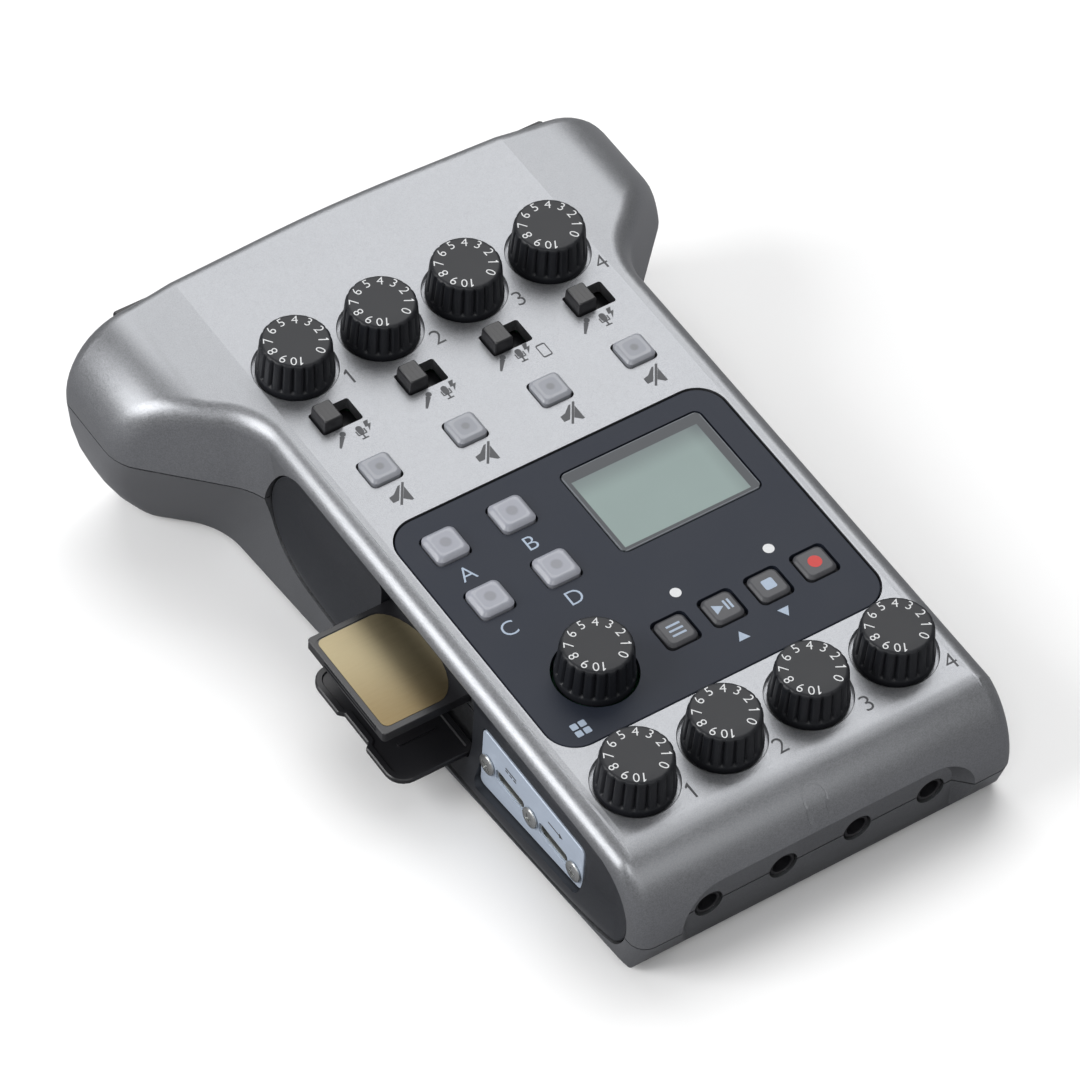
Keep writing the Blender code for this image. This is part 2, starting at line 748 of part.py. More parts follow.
def battery_bay(grow):
    """Outline of the battery opening in the underside, in the base frame."""
    middle, _ = on_base(-CELL_ROW_MIDDLE, underside(-CELL_ROW_MIDDLE))
    width = CELL_LENGTH + 2 * CELL_NUB_LENGTH + 2 * COVER_MARGIN + 2 * grow
    depth = CELL_PITCH + 2 * CELL_RADIUS + 2 * COVER_MARGIN + 2 * grow
    return rounded_rectangle(width, depth, COVER_THICKNESS / 2 + grow, (0, middle), 2), middle, depth


def foot_places():
    """Places of the four feet in the base frame."""
    places = []
    for x, y in FOOT_PLACES:
        level, _ = on_base(y, underside(y))
        places += [(x, level), (-x, level)]
    return places


def base_openings():
    """Battery opening and foot recesses, cut from below."""
    outline, _, _ = battery_bay(0)
    shape = prism(outline, FOOT_HEIGHT - OVERRUN / 4, FOOT_HEIGHT + BASE_WALL + OVERRUN / 4)
    for place in foot_places():
        outline = circle(FOOT_RADIUS + SEAT_GAP, 16, place)
        add_prism(shape, outline, FOOT_HEIGHT - OVERRUN / 4, FOOT_HEIGHT + FOOT_RECESS)
    return shape


def main_board_posts():
    """Posts of the lower case under the corners of the main board."""
    shape = bmesh.new()
    across = INNER_HALF_WIDTH - POST_INSET
    for y in (-MAIN_BOARD_REAR - POST_INSET, -MAIN_BOARD_FRONT + POST_INSET):
        for x in (-across, across):
            low = underside(y) - OVERRUN
            high = -(MAIN_BOARD_DEPTH + BOARD_THICKNESS + SEAT_GAP)
            add_prism(shape, circle(POST_RADIUS, 12, (x, y)), low, high)
    return shape


def build_cases(panel, base, silver):
    """Upper and lower case: one rounded form, hollowed and split at the parting line."""
    blank = housing_form("blank", BODY_HALF_WIDTH, 0, NOSE_LENGTH, FRONT_SETBACK, 8, panel)
    round_edges(blank)
    above_desk(blank, FOOT_HEIGHT, base)
    chamfer_lower_edges(blank, base)
    inner_nose = NOSE_LENGTH - SCOOP_INSET - JACK_WALL
    hollow = housing_form("hollow", INNER_HALF_WIDTH, WALL, inner_nose, 0, 6, panel)
    above_desk(hollow, FOOT_HEIGHT + BASE_WALL, base)
    cases = []
    limits = (
        ("upper_case", -PARTING_DEPTH + SEAM / 2, OVERRUN),
        ("lower_case", -LOWEST_DEPTH, -PARTING_DEPTH - SEAM / 2),
    )
    for name, low, high in limits:
        case = add_copy(name, blank, panel, (0, 0, 0))
        case.data = blank.data.copy()
        case.data.materials.append(silver)
        combine(case, "INTERSECT", slab(low, high), panel)
        cavity = add_copy(f"{name}_cavity", hollow, panel, (0, 0, 0))
        cavity.data = hollow.data.copy()
        if name == "lower_case":
            combine(cavity, "DIFFERENCE", main_board_posts(), panel)
            settle(cavity)
        cavity.hide_render = True
        cavity.display_type = "WIRE"
        step = case.modifiers.new("cavity", "BOOLEAN")
        step.operation = "DIFFERENCE"
        step.object = cavity
        combine(case, "DIFFERENCE", leaf_pockets(), panel)
        combine(case, "DIFFERENCE", scoop(), panel)
        combine(case, "DIFFERENCE", jack_holes(), panel)
        combine(case, "DIFFERENCE", socket_holes(), base)
        cases.append(case)
    upper, lower = cases
    combine(upper, "DIFFERENCE", latch_slots(), base)
    combine(upper, "DIFFERENCE", panel_wells(), panel)
    combine(upper, "DIFFERENCE", fascia_pocket(), panel)
    combine(upper, "DIFFERENCE", panel_holes(), panel)
    combine(upper, "DIFFERENCE", card_slot(SEAT_GAP), panel)
    combine(lower, "DIFFERENCE", port_holes(BODY_HALF_WIDTH, INNER_HALF_WIDTH - OVERRUN / 4), panel)
    combine(lower, "DIFFERENCE", base_openings(), base)
    for case in cases:
        settle(case)
        clean(case)
    for form in (blank, hollow):
        bpy.data.objects.remove(form, do_unlink=True)
    return cases


def clean(item):
    """Merges the small leftovers of the Boolean steps and shades the piece."""
    shape = bmesh.new()
    shape.from_mesh(item.data)
    bmesh.ops.remove_doubles(shape, verts=shape.verts[:], dist=SEAM / 50)
    bmesh.ops.dissolve_degenerate(shape, edges=shape.edges[:], dist=SEAM / 50)
    smallest = math.radians(0.3)
    bmesh.ops.dissolve_limit(shape, angle_limit=smallest, verts=shape.verts[:], edges=shape.edges[:])
    bmesh.ops.triangulate(shape, faces=shape.faces[:])
    shape.to_mesh(item.data)
    shape.free()
    item.data.shade_smooth()
    item.data.set_sharp_from_angle(angle=math.radians(30))


def door_recess():
    """Opening of the left side panel behind the card door."""
    rear = -DOOR_REAR + SEAT_GAP
    front = -DOOR_REAR - DOOR_WIDTH - SEAT_GAP
    low = -DOOR_AXIS[1] - DOOR_THICKNESS / 2 - SEAT_GAP
    high = -DOOR_AXIS[1] + DOOR_LENGTH + SEAT_GAP
    middle = ((rear + front) / 2, (low + high) / 2)
    outline = rounded_rectangle(rear - front, high - low, DOOR_THICKNESS / 2, middle, 1)
    shape = prism(outline, -(LEAF_RIM + OVERRUN), -(LEAF_BACK - OVERRUN / 4), "X")
    return shape


def door_pin_holes():
    reach = DOOR_PIN_LENGTH + SEAT_GAP
    low = -DOOR_REAR - DOOR_WIDTH - SEAT_GAP - reach
    high = -DOOR_REAR + SEAT_GAP + reach
    place = (-DOOR_AXIS[0], -DOOR_AXIS[1])
    return prism(circle(DOOR_PIN_RADIUS + RUNNING_GAP, 12, place), low, high, "Y")


def plate_outline(grow):
    """Outline of the connector plate in y and z: level with the panel above and with the desk below."""
    rear = -PLATE_REAR + grow
    front = rear - PLATE_LENGTH - 2 * grow
    top = -PLATE_TOP_DEPTH + grow
    low = -PLATE_LOW_DEPTH - grow
    lift = PLATE_LENGTH * math.tan(PANEL_TILT)
    corner = PLATE_CORNER + grow
    corners = [(rear, top, corner), (front, top, corner), (front, low + lift, corner), (rear, low, corner)]
    return filleted(corners, 2)


def build_side_panels(panel, dark):
    """Both side panels, the left one with its card opening and its pocket for the connector plate."""
    left = add_piece("left_side_panel", leaf_panel(-1), panel, dark)
    combine(left, "DIFFERENCE", door_recess(), panel)
    combine(left, "DIFFERENCE", door_pin_holes(), panel)
    floor = PLATE_FACE - PLATE_SHEET - SEAT_GAP
    pocket = prism(plate_outline(SEAT_GAP), -(LEAF_RIM + OVERRUN), -floor, "X")
    combine(left, "DIFFERENCE", pocket, panel)
    holes = port_holes(LEAF_RIM + OVERRUN, LEAF_BACK - OVERRUN / 4)
    for y in screw_places():
        outline = circle(SCREW_RADIUS + SEAT_GAP, 12, (y, -PORT_ROW_DEPTH))
        add_prism(holes, outline, -(LEAF_RIM + OVERRUN), -(LEAF_BACK - OVERRUN / 4), "X")
    combine(left, "DIFFERENCE", holes, panel)
    right = add_piece("right_side_panel", leaf_panel(1), panel, dark)
    outline = rounded_rectangle(*POWER_SLOT, POWER_SLOT[1] / 4, POWER_PLACE, 2)
    combine(right, "DIFFERENCE", prism(outline, LEAF_BACK - OVERRUN / 4, LEAF_RIM + OVERRUN, "X"), panel)


def build_connector_plate(panel, plate_metal, steel):
    """Plate round the data sockets, and its three screws."""
    sheet = prism(plate_outline(0), -PLATE_FACE, -(PLATE_FACE - PLATE_SHEET), "X")
    plate = add_piece("connector_plate", sheet, panel, plate_metal)
    holes = bmesh.new()
    outer = PLATE_FACE + OVERRUN
    inner = PLATE_FACE - PLATE_SHEET - OVERRUN / 4
    for y in port_places():
        slot = rounded_rectangle(*PORT_SIZE, PORT_SIZE[1] / 3, (y, -PORT_ROW_DEPTH), 2)
        add_prism(holes, slot, -outer, -inner, "X")
    for y in screw_places():
        add_prism(holes, circle(SCREW_RADIUS + SEAT_GAP, 12, (y, -PORT_ROW_DEPTH)), -outer, -inner, "X")
    combine(plate, "DIFFERENCE", holes, panel)
    seat = PLATE_FACE + SEAT_GAP
    shank = circle(SCREW_RADIUS, 12)
    brim = circle(SCREW_HEAD_RADIUS, 12)
    dome = circle(SCREW_HEAD_RADIUS - SCREW_HEAD_HEIGHT, 12)
    head = [(shank, -(LEAF_BACK + SEAT_GAP)), (shank, -seat), (brim, -seat),
            (brim, -(seat + SCREW_HEAD_HEIGHT / 2)), (dome, -(seat + SCREW_HEAD_HEIGHT))]
    first = None
    for number, y in enumerate(screw_places(), 1):
        place = (0, y, -PORT_ROW_DEPTH)
        name = f"plate_screw_{number}"
        if first is None:
            first = add_piece(name, add_tower(bmesh.new(), head, "X"), panel, steel, place)
        else:
            add_copy(name, first, panel, place)


def knob_ring(radius, depth):
    """One ring of the knob, with a round groove between its flutes."""
    ring = []
    count = KNOB_FLUTES * 2
    for k in range(count):
        angle = 2 * math.pi * k / count
        here = radius - (depth if k % 2 else 0)
        ring.append((here * math.cos(angle), here * math.sin(angle)))
    return ring


def knob_shape():
    """Fluted knob with a plain skirt, a chamfered crown and the shaft under it."""
    count = KNOB_FLUTES * 2
    shaft = circle(SHAFT_RADIUS, count)
    foot = -KNOB_WELL_DEPTH + RUNNING_GAP
    taper = KNOB_BASE_RADIUS - KNOB_TOP_RADIUS
    crown = KNOB_HEIGHT - KNOB_CROWN_HEIGHT
    sections = [
        (shaft, -(WALL + 2 * RUNNING_GAP) + RUNNING_GAP / 2),
        (shaft, foot),
        (circle(KNOB_BASE_RADIUS, count), foot),
        (circle(KNOB_BASE_RADIUS, count), KNOB_SKIRT_HEIGHT - FLUTE_DEPTH),
        (knob_ring(KNOB_BASE_RADIUS - taper / 4, FLUTE_DEPTH), KNOB_SKIRT_HEIGHT),
        (knob_ring(KNOB_TOP_RADIUS, FLUTE_DEPTH), crown),
        (circle(KNOB_TOP_RADIUS - KNOB_CROWN_HEIGHT, count), KNOB_HEIGHT),
    ]
    return add_tower(bmesh.new(), sections)


def build_knobs(panel, black):
    """Nine knobs, each turning on its own place."""
    first = add_piece("input_knob_1", knob_shape(), panel, black, (knob_places()[0], 0, 0))
    for number, x in enumerate(knob_places(), 1):
        if number > 1:
            add_copy(f"input_knob_{number}", first, panel, (x, 0, 0))
        add_copy(f"phones_knob_{number}", first, panel, (x, -PHONES_ROW, 0))
    add_copy("sound_pad_knob", first, panel, (*SOUND_KNOB_PLACE, 0))


def switch_rest():
    """x of a slider at the left end of its slot, from the slot's middle."""
    return -(SWITCH_SLOT[0] - SWITCH_SLIDER[0]) / 2 + RUNNING_GAP


def build_switches(panel, black):
    """Slide switches at the left end of their slots."""
    width, depth = SWITCH_SLIDER
    low = -(WALL + RUNNING_GAP)
    inside = -WALL + PLATE_THICKNESS / 2
    collar = rounded_rectangle(width, depth, SWITCH_TAPER, steps=1)
    top = rounded_rectangle(width - 2 * SWITCH_TAPER, depth - SWITCH_TAPER, SWITCH_TAPER, steps=1)
    margin = SWITCH_PLATE_MARGIN
    wide = rounded_rectangle(width + 2 * margin, depth + margin, SWITCH_TAPER, steps=1)
    brow = SWITCH_SLIDER_HEIGHT - SWITCH_TAPER / 2
    brow_ring = rounded_rectangle(width - SWITCH_TAPER, depth - SWITCH_TAPER / 2, SWITCH_TAPER, steps=1)
    sections = [(wide, low - PLATE_THICKNESS), (wide, low), (collar, low), (collar, inside / 4),
                (brow_ring, brow), (top, SWITCH_SLIDER_HEIGHT)]
    first = None
    for number, x in enumerate(knob_places(), 1):
        place = (x + switch_rest(), -SWITCH_ROW, 0)
        name = f"input_switch_{number}"
        if first is None:
            first = add_piece(name, add_tower(bmesh.new(), sections), panel, black, place)
        else:
            add_copy(name, first, panel, place)


def key_shape(size, corner, seat, height):
    """Push key: a cap, a flange that keeps it under its plate, and a stem over the board."""
    cap = rounded_rectangle(size, size, corner, steps=2)
    crown = rounded_rectangle(size - 2 * KEY_BEVEL, size - 2 * KEY_BEVEL, corner - KEY_BEVEL / 2, steps=2)
    outer = size + 2 * KEY_FLANGE + 2 * RUNNING_GAP
    wide = rounded_rectangle(outer, outer, corner, steps=2)
    stem = arc((0, 0), (STEM_RADIUS, STEM_RADIUS), 15, 375, 12)[:-1]
    under = seat - SEAT_GAP
    foot = -CONTROL_BOARD_DEPTH + KEY_TRAVEL + SEAT_GAP
    lowest = under - PLATE_THICKNESS
    sections = [(stem, foot), (stem, lowest), (wide, lowest), (wide, under), (cap, under),
                (cap, height - KEY_BEVEL), (crown, height)]
    return add_tower(bmesh.new(), sections)


def build_keys(panel, milky, dark):
    """Mute keys in the upper case, and the pads and transport keys in the fascia."""
    below_fascia = -(FASCIA_SINK + FASCIA_THICKNESS)
    mute = key_shape(MUTE_WINDOW - 2 * RUNNING_GAP, MUTE_CORNER, -WALL, KEY_HEIGHT)
    first = add_piece("mute_button_1", mute, panel, milky, (knob_places()[0], -MUTE_ROW, 0))
    for number, x in enumerate(knob_places()[1:], 2):
        add_copy(f"mute_button_{number}", first, panel, (x, -MUTE_ROW, 0))
    pad = key_shape(PAD_WINDOW - 2 * RUNNING_GAP, PAD_CORNER, below_fascia, KEY_HEIGHT)
    places = pad_places()
    first = add_piece("pad_button_a", pad, panel, milky, (*places[0], 0))
    for letter, place in zip("bcd", places[1:]):
        add_copy(f"pad_button_{letter}", first, panel, (*place, 0))
    key = key_shape(TRANSPORT_KEY, PAD_CORNER, below_fascia, TRANSPORT_KEY_HEIGHT)
    places = transport_places()
    first = add_piece("menu_button", key, panel, dark, (*places[0], 0))
    for name, place in zip(("play_button", "stop_button", "record_button"), places[1:]):
        add_copy(name, first, panel, (*place, 0))


def build_fascia(panel, slate, smoked, glass_grey):
    """Fascia with its windows, the display window and the display behind it."""
    high = -FASCIA_SINK
    low = high - FASCIA_THICKNESS
    width, depth = FASCIA_WIDTH, FASCIA_FRONT - FASCIA_REAR
    outline = rounded_rectangle(width, depth, FASCIA_CORNER, fascia_place(), 4)
    fascia = add_piece("control_fascia", prism(outline, low, high), panel, slate)
    holes = bmesh.new()
    bottom = low - OVERRUN / 4
    top = high + OVERRUN / 4
    for place in pad_places():
        add_prism(holes, rounded_rectangle(PAD_WINDOW, PAD_WINDOW, PAD_CORNER, place, 2), bottom, top)
    for place in transport_places():
        size = TRANSPORT_WINDOW
        add_prism(holes, rounded_rectangle(size, size, PAD_CORNER, place, 2), bottom, top)
    add_prism(holes, circle(KNOB_WELL_RADIUS, 32, SOUND_KNOB_PLACE), bottom, top)
    combine(fascia, "DIFFERENCE", holes, panel)
    wide, tall = (size + 2 * SEAT_GAP for size in DISPLAY_SIZE)
    rebate = rounded_rectangle(wide, tall, DISPLAY_CORNER + SEAT_GAP, DISPLAY_PLACE)
    combine(fascia, "DIFFERENCE", prism(rebate, high - WINDOW_THICKNESS - SEAT_GAP, top), panel)
    wide, tall = (size - 2 * WINDOW_LEDGE for size in DISPLAY_SIZE)
    view = rounded_rectangle(wide, tall, DISPLAY_CORNER, DISPLAY_PLACE)
    combine(fascia, "DIFFERENCE", prism(view, bottom, top), panel)
    window = rounded_rectangle(*DISPLAY_SIZE, DISPLAY_CORNER, DISPLAY_PLACE)
    add_piece("display_window", prism(window, high - WINDOW_THICKNESS, high), panel, smoked)
    margin = 2 * LCD_MARGIN
    glass = rounded_rectangle(wide - margin, tall - margin, DISPLAY_CORNER / 2, DISPLAY_PLACE, 1)
    brim = 2 * WINDOW_LEDGE
    frame = rounded_rectangle(wide + brim, tall + brim / 2, DISPLAY_CORNER, DISPLAY_PLACE, 1)
    foot = -CONTROL_BOARD_DEPTH + SEAT_GAP
    sections = [(frame, foot), (frame, low - SEAT_GAP), (glass, low - SEAT_GAP),
                (glass, high - WINDOW_THICKNESS - 2 * SEAT_GAP)]
    add_piece("lcd_module", add_tower(bmesh.new(), sections), panel, glass_grey)


def build_boards(panel, green):
    """Control board with potentiometers and switch bodies, main board with its sockets."""
    half = INNER_HALF_WIDTH - SEAT_GAP * 2
    surface = -CONTROL_BOARD_DEPTH
    middle = (0, (CONTROL_BOARD_REAR - CONTROL_BOARD_FRONT) / 2)
    length = CONTROL_BOARD_FRONT + CONTROL_BOARD_REAR
    outline = rounded_rectangle(2 * half, length, POST_RADIUS / 2, middle, 1)
    board = prism(outline, surface - BOARD_THICKNESS, surface)
    board = add_piece("control_board", board, panel, green)
    bodies = bmesh.new()
    for place in all_knobs():
        outline = rounded_rectangle(POT_SIZE, POT_SIZE, POT_SIZE / 10, place, 1)
        high = -(WALL + 2 * RUNNING_GAP) - RUNNING_GAP / 2
        add_prism(bodies, outline, surface - BOARD_THICKNESS / 2, high)
    for x in knob_places():
        width = SWITCH_SLOT[0] + 2 * SEAT_GAP
        outline = rounded_rectangle(width, SWITCH_SLOT[1], SWITCH_TAPER, (x, -SWITCH_ROW), 1)
        high = -(WALL + RUNNING_GAP) - PLATE_THICKNESS - SEAT_GAP
        add_prism(bodies, outline, surface - BOARD_THICKNESS / 2, high)
    combine(board, "UNION", bodies, panel)

    surface = -MAIN_BOARD_DEPTH
    middle = (0, -(MAIN_BOARD_REAR + MAIN_BOARD_FRONT) / 2)
    length = MAIN_BOARD_FRONT - MAIN_BOARD_REAR
    outline = rounded_rectangle(2 * half, length, POST_RADIUS / 2, middle, 1)
    board = prism(outline, surface - BOARD_THICKNESS, surface)
    board = add_piece("main_board", board, panel, green)
    card_middle = -CARD_REAR - CARD_WIDTH / 2
    cradle = rounded_rectangle(CARD_LENGTH - OVERRUN, CARD_WIDTH - 2 * CARD_THICKNESS, CARD_THICKNESS / 2,
                               (-half + CARD_LENGTH / 2, card_middle), 1)
    high = -CARD_TOP_DEPTH - CARD_THICKNESS - SEAT_GAP
    combine(board, "UNION", prism(cradle, surface - BOARD_THICKNESS / 2, high), panel)
    ports = bmesh.new()
    tongues = bmesh.new()
    face = PLATE_FACE - PLATE_SHEET
    for y in port_places():
        place = (y, -PORT_ROW_DEPTH)
        width, height = PORT_SIZE
        shell = rounded_rectangle(width, height, height / 3, place, 2)
        add_prism(ports, shell, -face, -(INNER_HALF_WIDTH - PORT_LENGTH), "X")
        shell_pair = 2 * PORT_SHELL
        bore = rounded_rectangle(width - shell_pair, height - shell_pair, height / 3 - PORT_SHELL, place, 2)
        add_prism(tongues, bore, -(face + OVERRUN), -(face - PORT_LENGTH), "X")
    combine(board, "UNION", ports, panel)
    combine(board, "DIFFERENCE", tongues, panel)


def build_jacks(panel, black):
    """Headphone sockets: a body behind the scoop's wall, and a collar in its hole."""
    plane = -(NOSE_START + NOSE_LENGTH - SCOOP_INSET)
    seat = plane + JACK_WALL + SEAT_GAP
    count = 12
    body = rounded_rectangle(JACK_BODY_WIDTH, JACK_BODY_HEIGHT, JACK_BODY_HEIGHT / 8, steps=2)
    collar = arc((0, 0), (JACK_HOLE_RADIUS - SEAT_GAP,) * 2, 15, 375, count)[:-1]
    bore = arc((0, 0), (JACK_BORE_RADIUS,) * 2, 15, 375, count)[:-1]
    face = plane + SEAT_GAP
    sections = [(body, seat + JACK_BODY_LENGTH), (body, seat), (collar, seat), (collar, face),
                (bore, face), (bore, face + JACK_BORE_DEPTH)]
    first = None
    for number, x in enumerate(jack_places(), 1):
        name = f"phone_jack_{number}"
        place = (x, 0, -PARTING_DEPTH)
        if first is None:
            first = add_piece(name, add_tower(bmesh.new(), sections, "Y"), panel, black, place)
        else:
            add_copy(name, first, panel, place)


def build_sockets(base, black):
    """Microphone sockets with the ring for the plug's shell, three pin holes and the release tab."""
    for number, x in enumerate(socket_places(), 1):
        face = socket_face(x)
        place = (x, face, SOCKET_HEIGHT)
        body, outer, inner = (circle(radius, 20) for radius in
                              (SOCKET_RADIUS, SOCKET_RING_OUTER, SOCKET_RING_INNER))
        sections = [(body, -SOCKET_LENGTH), (body, 0), (outer, 0), (outer, -SOCKET_RING_DEPTH),
                    (inner, -SOCKET_RING_DEPTH), (inner, 0)]
        socket = add_piece(f"xlr_socket_{number}", add_tower(bmesh.new(), sections, "Y"), base, black, place)
        holes = bmesh.new()
        for angle in (90, 210, 330):
            pin = arc((x, SOCKET_HEIGHT), (PIN_CIRCLE_RADIUS, PIN_CIRCLE_RADIUS), angle, angle + 1, 1)[0]
            add_prism(holes, circle(PIN_HOLE_RADIUS, 6, pin), face - SOCKET_RING_DEPTH, face + OVERRUN, "Y")
        combine(socket, "DIFFERENCE", holes, base)
        tab = rounded_rectangle(LATCH_WIDTH, LATCH_THICKNESS, LATCH_THICKNESS / 6, steps=1)
        slope = LATCH_THICKNESS / 3
        crown = rounded_rectangle(LATCH_WIDTH - slope, LATCH_THICKNESS - slope, slope / 2, steps=1)
        surface = rear_edge(x) * math.cos(PANEL_TILT) + middle_of_base() + LATCH_REACH
        sections = [(tab, -LATCH_LENGTH), (tab, -LATCH_THICKNESS / 6), (crown, 0)]
        place = (x, surface, SOCKET_HEIGHT + LATCH_RISE)
        add_piece(f"xlr_latch_{number}", add_tower(bmesh.new(), sections, "Y"), base, black, place)


def build_card(panel, black):
    """Memory card part way out of its slot, with one cut corner at its inner end."""
    rear = CARD_WIDTH / 2
    inner = CARD_LENGTH
    cut = [(inner, rear - CARD_CORNER), (inner - CARD_CORNER, rear)]
    outline = [(0, -rear), (inner, -rear)] + cut + [(0, rear)]
    level = -CARD_TOP_DEPTH - CARD_THICKNESS / 2
    place = (-CARD_OUTER_END, -CARD_REAR - rear, level)
    add_piece("memory_card", prism(outline, -CARD_THICKNESS / 2, CARD_THICKNESS / 2), panel, black, place)


def build_door(panel, black):
    """Card door lying open, on its hinge line in the side panel."""
    half = DOOR_WIDTH / 2
    thick = DOOR_THICKNESS / 2
    notch = DOOR_NOTCH_WIDTH / 2
    hinge = DOOR_THICKNESS / 2
    corners = [(hinge, -half, 0), (-DOOR_LENGTH, -half, DOOR_CORNER), (-DOOR_LENGTH, -notch, 0),
               (-DOOR_LENGTH + DOOR_NOTCH_DEPTH, -notch + DOOR_NOTCH_DEPTH, 0),
               (-DOOR_LENGTH + DOOR_NOTCH_DEPTH, notch - DOOR_NOTCH_DEPTH, 0),
               (-DOOR_LENGTH, notch, 0), (-DOOR_LENGTH, half, DOOR_CORNER), (hinge, half, 0)]
    flap = prism(filleted(corners), -thick, thick)
    edges = [edge for edge in flap.edges if all(v.co.x > 0 for v in edge.verts) and
             abs(edge.verts[0].co.y - edge.verts[1].co.y) > half]
    bmesh.ops.bevel(flap, geom=edges, offset=hinge * 0.98, segments=2, profile=0.5, affect="EDGES")
    place = (-DOOR_AXIS[0], -DOOR_REAR - half, -DOOR_AXIS[1])
    door = add_piece("card_door", flap, panel, black, place)
    pin = half + DOOR_PIN_LENGTH
    outline = circle(DOOR_PIN_RADIUS, 10, (place[0], place[2]))
    combine(door, "UNION", prism(outline, place[1] - pin, place[1] + pin, "Y"), panel)


def build_batteries(base, steel, grey):
    """Two cells across the body, and the cover that hinges down from under them."""
    outline, middle, depth = battery_bay(-SEAT_GAP)
    half = CELL_LENGTH / 2
    can = circle(CELL_RADIUS, 16)
    nub = circle(CELL_NUB_RADIUS, 16)
    sections = [(can, -half - CELL_NUB_LENGTH), (can, half), (nub, half), (nub, half + CELL_NUB_LENGTH)]
    height = FOOT_HEIGHT + COVER_THICKNESS + SEAT_GAP + CELL_RADIUS
    first = None
    for number, side in enumerate((1, -1), 1):
        name = f"battery_{number}"
        place = (0, middle + side * CELL_PITCH / 2, height)
        if first is None:
            first = add_piece(name, add_tower(bmesh.new(), sections, "X"), base, steel, place)
        else:
            add_copy(name, first, base, place).rotation_euler = (0, 0, math.pi)
    thick = COVER_THICKNESS / 2
    hinge = middle - depth / 2 + thick
    cover = bmesh.new()
    add_prism(cover, [(u, v - hinge) for u, v in outline], -thick, thick)
    front = min(v for _, v in outline) - hinge
    edges = [edge for edge in cover.edges if all(v.co.y < front + SEAM / 10 for v in edge.verts) and
             abs(edge.verts[0].co.x - edge.verts[1].co.x) > half]
    bmesh.ops.bevel(cover, geom=edges, offset=thick * 0.98, segments=2, profile=0.5, affect="EDGES")
    add_piece("battery_cover", cover, base, grey, (0, hinge, FOOT_HEIGHT + thick))


def build_feet(base, rubber):
    """Rubber feet in their recesses."""
    chamfer = FOOT_HEIGHT / 3
    top = FOOT_HEIGHT + FOOT_RECESS - SEAT_GAP
    round_edge = circle(FOOT_RADIUS, 16)
    sections = [(circle(FOOT_RADIUS - chamfer, 16), 0), (round_edge, chamfer), (round_edge, top)]
    first = None
    for number, (x, y) in enumerate(foot_places(), 1):
        name = f"foot_{number}"
        if first is None:
            first = add_piece(name, add_tower(bmesh.new(), sections), base, rubber, (x, y, 0))
        else:
            add_copy(name, first, base, (x, y, 0))


def build_power_switch(panel, black):
    """Slider in the right side panel, at the rear end of its slot."""
    length, height = POWER_SLOT
    low = LEAF_BACK
    high = LEAF_RIM - LEAF_DISH_DEPTH + POWER_PROUD
    body = rounded_rectangle(POWER_SLIDER_LENGTH, height - 2 * RUNNING_GAP, height / 6)
    crown = rounded_rectangle(POWER_SLIDER_LENGTH - POWER_PROUD, height - POWER_PROUD, height / 6)
    sections = [(body, low), (body, high - POWER_PROUD / 2), (crown, high)]
    rest = POWER_PLACE[0] + (length - POWER_SLIDER_LENGTH) / 2 - RUNNING_GAP
    slider = add_tower(bmesh.new(), sections, "X")
    add_piece("power_switch", slider, panel, black, (0, rest, POWER_PLACE[1]))


def build():
    for item in list(bpy.data.objects):
        bpy.data.objects.remove(item, do_unlink=True)
    base = bpy.data.objects.new("base_frame", None)
    panel = bpy.data.objects.new("panel_frame", None)
    for frame in (base, panel):
        bpy.context.collection.objects.link(frame)
    panel.parent = base
    panel.rotation_euler = (PANEL_TILT, 0, 0)
    panel.location = (0, middle_of_base(), top_of_base())

    silver = material("silver_paint", (0.56, 0.57, 0.59), 0.42, 0.35)
    dark = material("dark_panel", (0.035, 0.032, 0.036), 0.5)
    slate = material("slate_fascia", (0.045, 0.055, 0.075), 0.55)
    black = material("black_plastic", (0.012, 0.012, 0.013), 0.4)
    milky = material("milky_plastic", (0.55, 0.55, 0.58), 0.35)
    key_grey = material("key_grey", (0.07, 0.07, 0.075), 0.5)
    smoked = material("smoked_window", (0.05, 0.05, 0.055), 0.12)
    glass_grey = material("display_grey", (0.28, 0.31, 0.31), 0.3)
    plate_metal = material("plate_metal", (0.45, 0.5, 0.58), 0.35, 0.9)
    steel = material("steel", (0.6, 0.6, 0.6), 0.3, 1.0)
    green = material("board_green", (0.02, 0.12, 0.05), 0.5)
    rubber = material("rubber", (0.02, 0.02, 0.02), 0.8)

    build_cases(panel, base, silver)
    build_side_panels(panel, dark)
    build_connector_plate(panel, plate_metal, steel)
    build_fascia(panel, slate, smoked, glass_grey)
    build_knobs(panel, black)
    build_switches(panel, black)
    build_keys(panel, milky, key_grey)
    build_boards(panel, green)
    build_jacks(panel, black)
    build_sockets(base, black)
    build_card(panel, black)
    build_door(panel, black)
    build_batteries(base, steel, silver)
    build_feet(base, rubber)
    build_power_switch(panel, black)


build()
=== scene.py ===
# %% [markdown]
# # A desk recorder for four microphones
#
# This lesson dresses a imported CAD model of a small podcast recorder. The CAD model already has the right
# sizes, the right pieces and the right joints. What it lacks is what the eye looks for: soft edges, printed
# marks, fluted knobs, milky keys and a silver paint with a fine sparkle. Each cell makes one of these,
# in metres, in the same frame as the CAD model, and lets it ride on the CAD body that carries it.

import bmesh
import bpy
import math
from mathutils import Matrix, Vector


